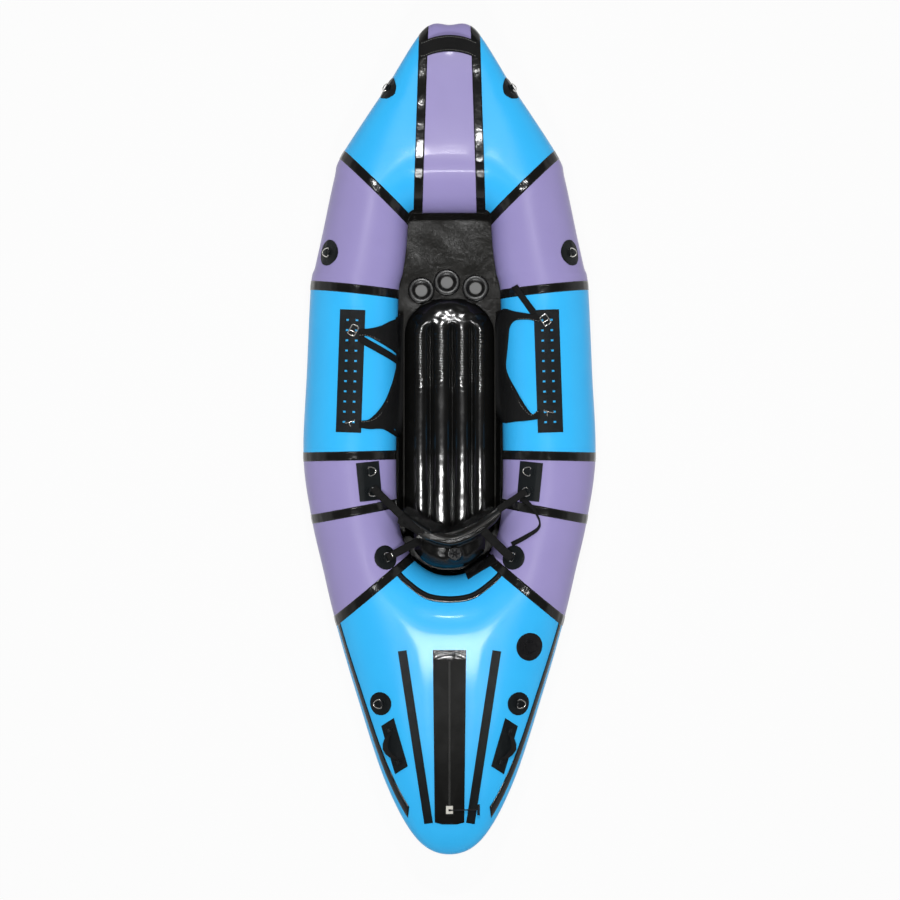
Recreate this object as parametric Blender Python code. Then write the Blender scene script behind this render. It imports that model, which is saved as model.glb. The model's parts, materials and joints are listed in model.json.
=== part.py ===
"""An inflatable single-seat packraft, modelled at real size with its bow along +Y.

The hull is a ring of air tube, cut into coloured fabric panels and joined by seam tapes.
Every section of the tube is a loop of points in a vertical plane, from the cockpit edge
over the crest to the outer side and back below. The stations give where those planes
stand, and all fittings are laid on the facets of that one surface.
"""

import math

import bmesh
import bpy
from mathutils import Matrix, Vector
from mathutils.bvhtree import BVHTree

# Hull
HULL_LENGTH = 2.65
HULL_WIDTH = 0.94
TUBE_HEIGHT = 0.29
BOW_RISE = 0.13
STERN_RISE = 0.08
HULL_FABRIC = 0.0018
FIT_GAP = 0.0003
SEAM_TAPE_WIDTH = 0.029
SEAM_TAPE_THICKNESS = 0.001
CUT_OVERRUN = 0.03

# Plan of the tube at each station, as shares of half the width and half the length:
# cockpit edge x and y, outer edge x and y. Then the place of the crest across the
# tube and how much of the bow or stern rise the outer edge takes.
STATION_SHARES = (
    (0.0, 0.553, 0.0, 1.0, 0.30, 1.0),
    (0.215, 0.5525, 0.174, 0.9885, 0.30, 1.0),
    (0.257, 0.551, 0.43, 0.853, 0.40, 0.68),
    (0.282, 0.536, 0.734, 0.692, 0.50, 0.25),
    (0.287, 0.512, 0.789, 0.634, 0.50, 0.12),
    (0.297, 0.463, 0.872, 0.498, 0.50, 0.0),
    (0.319, 0.408, 0.919, 0.423, 0.50, 0.0),
    (0.349, 0.354, 0.949, 0.376, 0.50, 0.0),
    (0.357, 0.166, 0.977, 0.166, 0.50, 0.0),
    (0.366, -0.035, 1.0, -0.040, 0.50, 0.0),
    (0.360, -0.152, 0.943, -0.191, 0.50, 0.0),
    (0.330, -0.226, 0.868, -0.309, 0.49, 0.0),
    (0.257, -0.283, 0.781, -0.438, 0.47, 0.08),
    (0.191, -0.306, 0.642, -0.607, 0.36, 0.35),
    (0.117, -0.321, 0.436, -0.826, 0.26, 0.8),
    (0.053, -0.327, 0.223, -0.962, 0.21, 1.0),
    (0.0, -0.328, 0.0, -1.0, 0.20, 1.0),
)
LAST_STATION = len(STATION_SHARES) - 1
# Stations where two panels meet, and the number of facets along each panel between them.
SEAM_STATIONS = (1, 3, 7, 9, 10, 12)
PANEL_FACETS = (1, 3, 3, 2, 1, 2, 6)
ROW_ANGLES = (
    0, 18, 36, 50, 58, 74, 90, 108, 126, 144, 154, 163,
    180, 200, 220, 240, 255, 270, 285, 300, 320, 340,
)
INSERT_TAPE_ROW = 3
EDGE_TAPE_ROW = 10
FLOOR_TAPE_ROW = 18

# Floor
FLOOR_THICKNESS = 0.002
DRAIN_HOLE_RADIUS = 0.0195
DRAIN_RING_RADIUS = 0.0425
DRAIN_RING_HEIGHT = 0.004
DRAIN_SPOT_SHARES = ((-0.195, 0.368), (-0.018, 0.388), (0.180, 0.374))

# Seat mat
MAT_WIDTH = 0.290
MAT_LENGTH = 0.782
MAT_HEIGHT = 0.078
MAT_CHAMBERS = 4
MAT_FRONT_SHARE = 0.3485
MAT_GROOVE_SHARE = 0.30
MAT_SOLE_SHARE = 0.9
MAT_SHOULDER_SHARE = 0.42
MAT_CROWN_SHARE = 0.94
MAT_EDGE_SHARE = 0.72
MAT_BULGE_POWER = 0.7
MAT_NOSE_LENGTH = 0.14
MAT_HEEL_LENGTH = 0.03

# Backrest
BACKREST_SPAN = 0.302
BACKREST_THICKNESS = 0.042
BACKREST_TOP = 0.312
BACKREST_BOTTOM = 0.0776
BACKREST_SWEEP = 0.085
BACKREST_WING_RISE = 0.105
BACKREST_TAPER_SHARE = 0.75
BACKREST_CORNER_SHARE = 0.16
BACKREST_SWEEP_POWER = 1.6
BACKREST_LEAN = 0.016
BACKREST_CENTRE_SHARE = -0.2325
CUSHION_POWER = 0.6
BLADDER_SPAN = 0.236
BLADDER_DEPTH = 0.094
BLADDER_TOP = 0.262
BLADDER_END_SHARE = 0.96
BLADDER_BACK_POWER = 0.8
BLADDER_POWER = 0.75
BACKREST_VALVE_SHARES = (0.036, -0.273)

# Patches and D-rings
PATCH_THICKNESS = 0.0012
FRAME_REACH = 0.015
CELL_REACH = 0.15
RING_PATCH_RADIUS = 0.042
RING_WIRE = 0.004
RING_BAR = 0.030
RING_DEPTH = 0.027
KEEPER_WIDTH = 0.017
KEEPER_FLANGE = 0.008
KEEPER_SHIFT_SHARE = 0.2
WEBBING = 0.0014
RUNNING_GAP = 0.00045
BOW_RING_SHARES = (0.849, 0.93)
# Name, x and y share, heading in which the ring lies, size share, degrees pulled up.
DECK_RING_SHARES = (
    ("front_ring", 0.823, 0.453, 0.0, 1.0, 0.0),
    ("rear_ring", 0.432, -0.282, 160.0, 0.94, 35.0),
    ("stern_ring", 0.469, -0.634, -10.0, 0.89, 0.0),
)
RECT_PATCH_SHARES = (0.541, -0.0985)
RECT_PATCH_HEADING = -6.0
RECT_PATCH_WIDTH = 0.079
RECT_PATCH_LENGTH = 0.124
RECT_RING_SPACING = 0.062
RECT_RING_OFFSET = 0.004
RECT_RING_LIFTS = (0.0, 30.0)
RECT_RING_TURNS = (180.0, 208.0)

# Thigh strap ladders and buckles
LADDER_SHARES = (0.671, 0.1668)
LADDER_HEADING = 2.0
LADDER_WIDTH = 0.081
LADDER_ROWS = 11
LADDER_PITCH = 0.0325
LADDER_END = 0.034
BAND_LENGTH = 0.014
BAND_ROOM = 0.0034
BAND_MARGIN = 0.001
WINDOW_WIDTH = 0.008
WINDOW_LENGTH = 0.006
WINDOW_SPACING = 0.030
BUCKLE_ROWS = {1: (0, 9), -1: (1, 10)}
BUCKLE_LENGTH = 0.034
BUCKLE_WIDTH = 0.037
BUCKLE_THICKNESS = 0.0024
BUCKLE_BAR = 0.004
BUCKLE_BAR_OFFSET = 0.021
BUCKLE_SLOT = 0.0075
TONGUE_THICKNESS = 0.0022
TONGUE_WIDTH = 0.015
TONGUE_LENGTH = 0.018

# Straps and handles
STRAP_WIDTH = 0.025
STRAP_LIFT = 0.003
SLEEVE_WIDTH = 0.022
SLEEVE_ROOM = 0.0018
SLEEVE_SETBACK = 0.0012
STRAP_CLEARANCE = 0.0045
THIGH_PAD_WIDTH = 0.050
THIGH_PAD_THICKNESS = 0.008
# Share of the way between the buckles, angle round the tube, width and thickness shares.
THIGH_STRAP_SHARES = (
    (0.010, 71.0, 0.44, 0.30),
    (0.030, 54.0, 0.75, 0.5),
    (0.075, 34.0, 0.95, 0.8),
    (0.150, 17.0, 1.0, 0.9),
    (0.273, 9.0, 1.0, 1.0),
    (0.427, 7.0, 1.0, 1.0),
    (0.580, 8.0, 1.0, 1.0),
    (0.710, 15.0, 1.0, 0.9),
    (0.840, 34.0, 0.9, 0.8),
    (0.940, 54.0, 0.7, 0.5),
    (0.990, 71.0, 0.44, 0.30),
)
WING_SHARES = ((1.0, 0.62), (0.86, 0.66), (0.57, 0.76))
WING_WIDTH_SHARES = (1.4, 1.2, 1.0, 0.8, 0.7)
STRAP_FOLD = 0.008
STRAP_FOLD_SHARE = 0.3
STRAP_STEPS = 2
FOLD_STEPS = 7
FOLD_START = 0.0
FOLD_TURN = 270.0
BOW_HANDLE_SHARE = 0.938
BOW_HANDLE_WIDTH = 0.053
BOW_HANDLE_SPAN = 0.196
BOW_HANDLE_RISE = 0.016
BOW_HANDLE_BULGE = 0.019
BOW_HANDLE_SEWN_SHARE = 0.24
BOW_HANDLE_FOOT_SHARE = 0.6
BOW_HANDLE_ARCH_POWER = 2.4
BOW_HANDLE_LAYERS = 1.8
DECK_STRIP_SHARES = (0.321, -0.506, 0.1415, -0.922)
DECK_STRIP_WIDTH = 0.028
DECK_HANDLE_SHARES = (0.3745, -0.736)
DECK_HANDLE_HEADING = -16.5
DECK_HANDLE_PATCH_WIDTH = 0.049
DECK_HANDLE_PATCH_LENGTH = 0.160
DECK_HANDLE_PATCH_SKEW = 0.007
DECK_HANDLE_LENGTH = 0.118
DECK_HANDLE_REACH = 0.034
DECK_HANDLE_ROD = 0.0038
DECK_HANDLE_KEEPER = 0.012
DECK_HANDLE_WIDTH = 0.016
# Shares of the half length and of the reach, and of the webbing's width along it.
DECK_HANDLE_PATH_SHARES = (
    (-1.0, 0.0), (-0.85, 0.0), (-0.7, 0.0), (-0.45, 0.5), (0.0, 0.85), (0.45, 0.5), (0.7, 0.0),
    (0.85, 0.0), (1.0, 0.0),
)
DECK_HANDLE_WIDTH_SHARES = (0.0, 0.0, 0.0, 0.85, 1.0, 0.85, 0.0, 0.0, 0.0)

# Cargo zip
ZIP_WIDTH = 0.106
ZIP_REAR_WIDTH_SHARE = 0.89
ZIP_FRONT_SHARE = -0.504
ZIP_REAR_SHARE = -0.924
ZIP_END_BULGE = 0.006
ZIP_THICKNESS = 0.0022
ZIP_CHAIN_WIDTH = 0.013
ZIP_CHAIN_RISE = 0.0037
ZIP_ARC_SHARES = (-0.530, -0.720, -0.897)
ZIP_CHAIN_SETBACK = 0.030
ZIP_PROBES = 24
ZIP_STOP_WIDTH = 0.019
ZIP_STOP_LENGTH = 0.007
ZIP_STOP_RISE = 0.0015
SLIDER_SHARE = -0.888
SLIDER_LENGTH = 0.025
SLIDER_WIDTH = 0.022
SLIDER_HEIGHT = 0.008
SLIDER_CLEARANCE = 0.001
BAIL_LENGTH = 0.016
BAIL_HEIGHT = 0.0048
BAIL_BAR = 0.0024
PULLER_LENGTH = 0.093
PULLER_CORD = 0.0045
EYE_WIDTH = 0.006
TOGGLE_LENGTH = 0.034
TOGGLE_CLEARANCE = 0.0012
TOGGLE_DIAMETER = 0.009

# Valves
HULL_VALVE_SHARES = (0.545, -0.497)
HULL_VALVE_PATCH_RADIUS = 0.045
VALVE_RADIUS = 0.024
VALVE_HEIGHT = 0.007
CAP_RADIUS = 0.0195
CAP_HEIGHT = 0.009
CAP_RECESS = 0.004
CAP_LOBES = 8
CAP_STAR_SHARE = 0.82
CAP_LOBE_SHARE = 0.1

SLIDER_GREY = (0.62, 0.60, 0.55)
BLUE = (0.045, 0.42, 0.90)
PURPLE = (0.30, 0.25, 0.55)
BLACK = (0.012, 0.012, 0.013)
MAT_BLACK = (0.006, 0.006, 0.006)
STEEL = (0.72, 0.72, 0.70)


def clear_scene():
    """Removes every object of the open scene."""
    for item in list(bpy.data.objects):
        bpy.data.objects.remove(item, do_unlink=True)


def new_collection(name):
    collection = bpy.data.collections.new(name)
    bpy.context.scene.collection.children.link(collection)
    return collection


def new_material(name, colour, roughness, metallic=0.0):
    """A Principled material with the colour, roughness and metallic value given."""
    material = bpy.data.materials.new(name)
    material.use_nodes = True
    shader = material.node_tree.nodes["Principled BSDF"]
    shader.inputs["Base Color"].default_value = (*colour, 1.0)
    shader.inputs["Roughness"].default_value = roughness
    shader.inputs["Metallic"].default_value = metallic
    material.diffuse_color = (*colour, 1.0)
    return material


def place(name, data, frame=None, finish=None):
    """Links a sub-part in the model's collection, with its own material."""
    item = bpy.data.objects.new(name, data)
    if frame is not None:
        item.matrix_world = frame
    if finish is None:
        CUTTERS.objects.link(item)
        item.hide_render = True
        item.display_type = "WIRE"
        return item
    PARTS.objects.link(item)
    data.materials.clear()
    data.materials.append(new_material(name, *finish))
    return item


def mesh_of(name, bm, smooth_angle=math.radians(35)):
    """Turns a bmesh into a mesh whose faces point outwards."""
    bmesh.ops.recalc_face_normals(bm, faces=bm.faces)
    mesh = bpy.data.meshes.new(name)
    bm.to_mesh(mesh)
    bm.free()
    mesh.shade_smooth()
    mesh.set_sharp_from_angle(angle=smooth_angle)
    return mesh


def boolean(item, operation, tool):
    modifier = item.modifiers.new(operation.lower(), "BOOLEAN")
    modifier.operation = operation
    modifier.solver = "EXACT"
    modifier.object = tool


def catmull(before, start, end, after, share):
    """The point at a share of the way from start to end on a smooth curve through all four."""
    square = share * share
    cube = square * share
    return (
        2 * start
        + (end - before) * share
        + (2 * before - 5 * start + 4 * end - after) * square
        + (3 * start - before - 3 * end + after) * cube
    ) / 2


def smooth_path(points, steps):
    """Points of a smooth curve through a list of vectors or of lists of numbers."""
    result = []
    for index in range(len(points) - 1):
        before = points[max(index - 1, 0)]
        after = points[min(index + 2, len(points) - 1)]
        for step in range(steps):
            result.append(catmull(before, points[index], points[index + 1], after, step / steps))
    result.append(points[-1])
    return result


def station_values(index):
    """One row of the station table, mirrored across the centre line past either end."""
    mirror = 1
    if index < 0:
        index = -index
        mirror = -1
    if index > LAST_STATION:
        index = 2 * LAST_STATION - index
        mirror = -1
    row = STATION_SHARES[index]
    return (mirror * row[0], row[1], mirror * row[2], *row[3:])


def station_row(station):
    """The station table read between its rows, on a smooth curve."""
    index = min(max(int(math.floor(station)), 0), LAST_STATION - 1)
    rows = [station_values(index + step) for step in (-1, 0, 1, 2)]
    return [catmull(*values, station - index) for values in zip(*rows)]


def plan_point(station, column):
    """The cockpit edge (column 0) or outer edge (column 2) of the hull in plan."""
    row = station_row(station)
    return Vector((row[column] * HULL_WIDTH / 2, row[column + 1] * HULL_LENGTH / 2))


def crossing_station(start, column, origin, direction):
    """The station near start whose cockpit or outer edge lies on a line of the plan."""
    across = Vector((-direction.y, direction.x))

    def distance(station):
        return (plan_point(station, column) - origin).dot(across)

    low, high = start - 1.0, start + 1.0
    for _ in range(40):
        middle = (low + high) / 2
        if distance(middle) * distance(low) > 0:
            low = middle
        else:
            high = middle
    return (low + high) / 2


def seam_stations(station):
    """Cockpit and outer stations of a seam and of both edges of the tape on it."""
    inner = plan_point(station, 0)
    direction = (plan_point(station, 2) - inner).normalized()
    across = Vector((-direction.y, direction.x))
    result = []
    for side in (1, 0, -1):
        origin = inner + across * (side * SEAM_TAPE_WIDTH / 2)
        pair = [crossing_station(station, column, origin, direction) for column in (0, 2)]
        result.append(pair)
    return result


def half_columns():
    """Station pairs of all columns of the right half, and the index of each seam's middle."""
    edges = [[[0.0, 0.0]]]
    edges += [seam_stations(station) for station in SEAM_STATIONS]
    edges.append([[float(LAST_STATION)] * 2])
    columns, seams = [], []
    for edge, following, facets in zip(edges, edges[1:], PANEL_FACETS):
        columns += edge
        seams.append(len(columns) - 2)
        for step in range(1, facets):
            share = step / facets
            columns.append([a + (b - a) * share for a, b in zip(edge[-1], following[0])])
    columns += edges[-1]
    return columns, seams[1:]


def section_point(inner_station, outer_station, angle, side=1):
    """A point of the tube, at an angle from the cockpit edge (0) over the crest (90)."""
    inner = plan_point(inner_station, 0)
    outer = plan_point(outer_station, 2)
    *_, crest, rise = station_row(outer_station)
    turn = math.cos(math.radians(angle))
    reach = crest - (crest if turn >= 0 else 1 - crest) * turn
    plan = inner + (outer - inner) * reach
    lift = rise * (BOW_RISE if outer.y > 0 else STERN_RISE) * min(turn, 0) ** 2
    height = TUBE_HEIGHT / 2 * (1 + math.sin(math.radians(angle)))
    base = FLOOR_THICKNESS + SEAM_TAPE_THICKNESS + FIT_GAP * 2
    return Vector((side * plan.x, plan.y, base + lift + height))


def hull_point(station, angle, side=1):
    return section_point(station, station, angle, side)


class Hull:
    """The faceted hull surface that every panel, tape and patch is taken from."""

    def __init__(self):
        half, self.seams = half_columns()
        pairs = [(*pair, 1) for pair in half]
        pairs += [(*pair, -1) for pair in reversed(half[1:-1])]
        self.columns = len(pairs)
        self.rows = len(ROW_ANGLES)
        self.stern = len(half) - 1
        bm = bmesh.new()
        grid = [
            [bm.verts.new(section_point(*pair[:2], angle, pair[2])) for angle in ROW_ANGLES]
            for pair in pairs
        ]
        for column in range(self.columns):
            for row in range(self.rows):
                for corners in self.triangles(column, row):
                    bm.faces.new([grid[c][r] for c, r in corners])
        bm.normal_update()
        self.points = [[vertex.co.copy() for vertex in line] for line in grid]
        self.normals = [[vertex.normal.copy() for vertex in line] for line in grid]
        self.tree = BVHTree.FromBMesh(bm)
        bm.free()

    def wrap(self, column, row):
        return column % self.columns, row % self.rows

    def triangles(self, column, row):
        """Two triangles of one cell, split the same way wherever a skin is made."""
        here, right = self.wrap(column, row), self.wrap(column + 1, row)
        over, up = self.wrap(column + 1, row + 1), self.wrap(column, row + 1)
        if column % self.columns < self.stern:
            return (here, right, over), (here, over, up)
        return (here, right, up), (right, over, up)

    def mirrored(self, column):
        return (self.columns - column) % self.columns

    def hit(self, start, view):
        """The point of the facets that is met first from a start along a view."""
        return self.tree.ray_cast(start, view)[0]

    def normal(self, point):
        """The normal of the facet nearest to a point."""
        return self.tree.find_nearest(point)[1]


def skin(name, cells, low, high, pulls=None):
    """A closed layer over cells of the hull, from one height above the facets to another."""
    cells = {HULL.wrap(*cell) for cell in cells}
    pulls = pulls or {}
    bm = bmesh.new()
    vertices = {}

    def vertex(spot, height):
        key = (spot, height)
        if key not in vertices:
            column, row = spot
            point = HULL.points[column][row]
            step = pulls.get(column, 0)
            if step:
                beside = HULL.points[(column + step) % HULL.columns][row]
                point = point + (beside - point).normalized() * FIT_GAP
            vertices[key] = bm.verts.new(point + HULL.normals[column][row] * height)
        return vertices[key]

    for column, row in cells:
        for corners in HULL.triangles(column, row):
            bm.faces.new([vertex(spot, high) for spot in corners])
            bm.faces.new([vertex(spot, low) for spot in reversed(corners)])
        ends = (
            ((column, row), (column + 1, row), (column, row - 1)),
            ((column + 1, row), (column + 1, row + 1), (column + 1, row)),
            ((column + 1, row + 1), (column, row + 1), (column, row + 1)),
            ((column, row + 1), (column, row), (column - 1, row)),
        )
        for start, end, neighbour in ends:
            if HULL.wrap(*neighbour) in cells:
                continue
            start, end = HULL.wrap(*start), HULL.wrap(*end)
            bm.faces.new([
                vertex(start, low), vertex(end, low), vertex(end, high), vertex(start, high),
            ])
    return mesh_of(name, bm)


def block_cells(first, last, rows=None):
    """All cells between two columns, over all rows or over the rows given."""
    rows = range(HULL.rows) if rows is None else rows
    return [(column, row) for column in range(first, last) for row in rows]


def panel(name, first, last, finish):
    """A hull panel, a tube of fabric between two seams."""
    pulls = {first % HULL.columns: 1, last % HULL.columns: -1}
    mesh = skin(name, block_cells(first, last), -HULL_FABRIC, 0.0, pulls)
    place(name, mesh, finish=finish)


def hull_panels():
    blue, purple = (BLUE, 0.42), (PURPLE, 0.42)
    bow, diagonal, front, middle, rear, stern = HULL.seams
    panel("bow_centre_panel", -bow, bow, purple)
    panel("stern_panel", stern, HULL.columns - stern, blue)
    spans = (
        ("bow_side_panel", bow, diagonal, blue),
        ("front_tube_panel", diagonal, front, purple),
        ("mid_tube_panel", front, middle, blue),
        ("rear_tube_panel", middle, stern, purple),
    )
    for name, first, last, finish in spans:
        panel(f"{name}_right", first, last, finish)
        panel(f"{name}_left", HULL.mirrored(last), HULL.mirrored(first), finish)


def seam_tapes():
    """The tapes of each half: over every seam, round the floor joint, and on the stern."""
    low, high = FIT_GAP, FIT_GAP + SEAM_TAPE_THICKNESS
    bow, diagonal, *_, stern = HULL.seams
    cells = set()
    for seam in HULL.seams:
        cells.update(block_cells(seam - 1, seam + 1))
    cells.update(block_cells(bow + 1, diagonal - 1, range(-2, 1)))
    cells.update(block_cells(1, HULL.stern, (FLOOR_TAPE_ROW,)))
    cells.update(block_cells(stern + 1, HULL.stern, (INSERT_TAPE_ROW,)))
    cells.update(block_cells(stern + 1, HULL.stern - 2, (EDGE_TAPE_ROW,)))
    pulls = {HULL.stern: -1}
    place("seam_tape_right", skin("seam_tape_right", cells, low, high, pulls), finish=(BLACK, 0.5))
    mirrored = [(HULL.mirrored(column + 1), row) for column, row in cells]
    pulls = {HULL.stern: 1}
    place("seam_tape_left", skin("seam_tape_left", mirrored, low, high, pulls), finish=(BLACK, 0.5))


def loft(name, rings, flat=False):
    """A closed mesh through rings of points; a flat one is split alike above and below."""
    bm = bmesh.new()
    loops = [[bm.verts.new(point) for point in ring] for ring in rings]
    for ring, following in zip(loops, loops[1:]):
        for index in range(len(ring)):
            near = (index + 1) % len(ring)
            corners = [ring[index], ring[near], following[near], following[index]]
            if not flat:
                bm.faces.new(corners)
                continue
            if index >= 2:
                corners = corners[1:] + corners[:1]
            bm.faces.new(corners[:3])
            bm.faces.new([corners[0], *corners[2:]])
    bm.faces.new(loops[0])
    bm.faces.new(reversed(loops[-1]))
    return mesh_of(name, bm)


def ribbon(name, path, sides, widths, thicknesses):
    """A strap: a flat section carried along a path, its width along the side at each point."""
    rings = []
    for index, (point, side) in enumerate(zip(path, sides)):
        ahead = path[min(index + 1, len(path) - 1)] - path[max(index - 1, 0)]
        side = (side - ahead.normalized() * side.dot(ahead.normalized())).normalized()
        rise = ahead.cross(side).normalized() * thicknesses[index] / 2
        reach = side * widths[index] / 2
        rings.append([
            point - reach - rise, point + reach - rise, point + reach + rise, point - reach + rise,
        ])
    return loft(name, rings, flat=True)


def disc(name, radius, height, frame, sides=24, finish=None):
    """A round plate or cutter, centred on its frame."""
    bm = bmesh.new()
    bmesh.ops.create_cone(
        bm, cap_ends=True, segments=sides, radius1=radius, radius2=radius, depth=height,
    )
    return place(name, mesh_of(name, bm), frame, finish)


def slab(name, size, frame, finish=None):
    """A box of the size given, centred on its frame."""
    bm = bmesh.new()
    bmesh.ops.create_cube(bm, size=1.0)
    bmesh.ops.scale(bm, vec=size, verts=bm.verts)
    return place(name, mesh_of(name, bm), frame, finish)


def prism(name, outline, height, frame, finish=None):
    """A flat outline raised to both sides of its frame by half the height."""
    bm = bmesh.new()
    base = bm.faces.new([bm.verts.new((x, y, -height / 2)) for x, y in outline])
    raised = bmesh.ops.extrude_face_region(bm, geom=[base])["geom"]
    tops = [part for part in raised if isinstance(part, bmesh.types.BMVert)]
    bmesh.ops.translate(bm, verts=tops, vec=(0, 0, height))
    return place(name, mesh_of(name, bm), frame, finish)


def circle(radius, sides, centre=(0.0, 0.0)):
    angles = [math.tau * step / sides for step in range(sides)]
    return [(centre[0] + radius * math.cos(a), centre[1] + radius * math.sin(a)) for a in angles]


def axes_frame(origin, x_axis, y_axis, z_axis):
    frame = Matrix((x_axis, y_axis, z_axis)).transposed().to_4x4()
    frame.translation = origin
    return frame


def facet_frame(start, view, along):
    """A frame where a ray meets the hull: Z off the facets, Y as near as can be to along."""
    along = (along - view * along.dot(view)).normalized()
    across = view.cross(along)
    steps = (along, -along, across, -across)
    ends = [HULL.hit(start + step * FRAME_REACH, view) for step in steps]
    y_axis = (ends[0] - ends[1]).normalized()
    normal = y_axis.cross(ends[2] - ends[3]).normalized()
    if normal.dot(view) > 0:
        normal.negate()
    return axes_frame(HULL.hit(start, view), y_axis.cross(normal), y_axis, normal)


def deck_frame(x_share, y_share, side, heading=0.0):
    """A frame on the hull seen from above; the heading turns Y from outboard to the bow."""
    turn = math.radians(heading)
    along = Vector((side * math.cos(turn), math.sin(turn), 0))
    start = Vector((side * x_share * HULL_WIDTH / 2, y_share * HULL_LENGTH / 2, TUBE_HEIGHT * 2))
    return facet_frame(start, Vector((0, 0, -1)), along)


def flank_frame(y_share, z_share, side):
    """A frame on the outer side of the hull, its Y axis pointing down the tube."""
    start = Vector((side * HULL_WIDTH, y_share * HULL_LENGTH / 2, z_share * TUBE_HEIGHT))
    return facet_frame(start, Vector((-side, 0, 0)), Vector((0, 0, -1)))


def reseat(frame, x=0.0, y=0.0, turn=0.0):
    """The frame moved and turned in its own plane, then laid on the facets again."""
    moved = frame @ Matrix.Translation((x, y, 0)) @ Matrix.Rotation(math.radians(turn), 4, "Z")
    view = -moved.col[2].to_3d()
    start = moved.translation - view * TUBE_HEIGHT / 4
    return facet_frame(start, view, moved.col[1].to_3d())


def shifted(frame, x=0.0, y=0.0, z=0.0):
    return frame @ Matrix.Translation((x, y, z))


def cells_near(point, reach):
    """Every cell of the hull whose middle lies within a reach of a point."""
    cells = []
    for column in range(HULL.columns):
        for row in range(HULL.rows):
            corners = [HULL.wrap(column + c, row + r) for c in (0, 1) for r in (0, 1)]
            middle = sum((HULL.points[c][r] for c, r in corners), Vector()) / 4
            if (middle - point).length < reach + CELL_REACH:
                cells.append((column, row))
    return cells


def hull_patch(name, cells, outline, frame, thickness, finish, rises=(), low=FIT_GAP):
    """A patch welded to the hull: a layer over it inside an outline, with pieces sewn on."""
    item = place(name, skin(name, cells, low, low + thickness), finish=finish)
    boolean(item, "INTERSECT", prism(f"{name}_outline", outline, CUT_OVERRUN * 2, frame))
    if rises:
        bed = place(f"{name}_bed", skin(f"{name}_bed", cells, -CUT_OVERRUN, low + thickness / 2))
    for rise in rises:
        boolean(rise, "DIFFERENCE", bed)
        boolean(item, "UNION", rise)
    return item


def oblong(length, width, skew=0.0):
    """A rectangle along X, whose two ends can be slanted by a shift of its sides."""
    x, y = length / 2, width / 2
    return [(-x - skew, -y), (x - skew, -y), (x + skew, y), (-x + skew, y)]


def keeper(name, frame, bar_height, bar_radius, width):
    """A webbing keeper over a bar along X: an arch with a flange before and behind it."""
    inner = bar_radius + RUNNING_GAP
    outer = inner + WEBBING
    foot = -bar_height
    flat = foot + FIT_GAP + PATCH_THICKNESS + WEBBING
    reach = outer + KEEPER_FLANGE
    arc = [math.pi * step / 6 for step in range(7)]
    outline = [(reach, foot), (reach, flat), (outer, flat)]
    outline += [(outer * math.cos(a), outer * math.sin(a)) for a in arc]
    outline += [(-outer, flat), (-reach, flat), (-reach, foot), (-inner, foot)]
    outline += [(inner * math.cos(a), inner * math.sin(a)) for a in reversed(arc)]
    outline.append((inner, foot))
    return prism(name, outline, width, frame @ SIDEWAYS)


def resting(origin, x_axis, y_axis, normal, reach, bar_height):
    """The direction in which a loop hinged at a bar comes to lie on the hull."""
    slopes = []
    for step in range(1, 5):
        spot = origin + y_axis * (reach * step / 4)
        slopes.append(HULL.hit(spot, -normal) + normal * (bar_height + FIT_GAP * 2) - origin)
    lying = max(slopes, key=lambda slope: slope.dot(normal) / slope.length)
    lying = (lying - x_axis * lying.dot(x_axis)).normalized()
    return lying


def hinge_frame(base, lift, reach, bar_height):
    """The frame of a bar over a patch, its Y axis along the loop as it lies on the hull."""
    x_axis, y_axis, normal = (base.col[index].to_3d() for index in range(3))
    origin = base.translation + normal * bar_height
    lying = resting(origin, x_axis, y_axis, normal, reach, bar_height)
    turn = math.radians(lift)
    y_axis = lying * math.cos(turn) + x_axis.cross(lying).normalized() * math.sin(turn)
    return axes_frame(origin, x_axis, y_axis, x_axis.cross(y_axis))


def ring_height():
    return FIT_GAP + PATCH_THICKNESS + RING_WIRE / 2 + RUNNING_GAP + FIT_GAP * 2


def d_ring(name, frame):
    """A ring bent from wire: a straight bar in the keeper and a round bow."""
    half = RING_BAR / 2
    curve = bpy.data.curves.new(name, "CURVE")
    curve.dimensions = "3D"
    curve.bevel_depth = RING_WIRE / 2
    curve.bevel_resolution = 1
    arc = [math.pi * step / 8 for step in range(9)]
    points = [(half * math.cos(a), RING_DEPTH * math.sin(a)) for a in arc]
    spline = curve.splines.new("POLY")
    spline.points.add(len(points) - 1)
    for point, (x, y) in zip(spline.points, points):
        point.co = (x, y, 0.0, 1.0)
    spline.use_cyclic_u = True
    place(name, curve, frame, (STEEL, 0.25, 1.0))


def ring_patch(name, bases, lifts, outline, patch_frame, reach):
    """A patch with one or two D-rings held by keepers."""
    rises = []
    for number, (base, lift) in enumerate(zip(bases, lifts)):
        label = name if len(bases) == 1 else f"{name}_{number + 1}"
        frame = hinge_frame(base, lift, RING_DEPTH, ring_height())
        d_ring(f"{label}_ring", frame)
        RING_FRAMES[label] = frame
        upright = shifted(base, z=ring_height())
        rises.append(keeper(f"{label}_keeper", upright, ring_height(), RING_WIRE / 2, KEEPER_WIDTH))
    cells = cells_near(patch_frame.translation, reach)
    hull_patch(f"{name}_patch", cells, outline, patch_frame, PATCH_THICKNESS, (BLACK, 0.6), rises)


def round_fitting(name, patch_frame, size_share, lift):
    """A round patch whose ring lies along the Y axis of its frame."""
    base = reseat(patch_frame, y=-RING_DEPTH * KEEPER_SHIFT_SHARE)
    radius = RING_PATCH_RADIUS * size_share
    ring_patch(name, [base], [lift], circle(radius, 20), patch_frame, radius)


def round_fittings(side, label):
    round_fitting(f"bow_ring_{label}", flank_frame(*BOW_RING_SHARES, side), 0.9, 0.0)
    for name, x_share, y_share, heading, size_share, lift in DECK_RING_SHARES:
        frame = deck_frame(x_share, y_share, side, heading)
        round_fitting(f"{name}_{label}", frame, size_share, lift)


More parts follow.
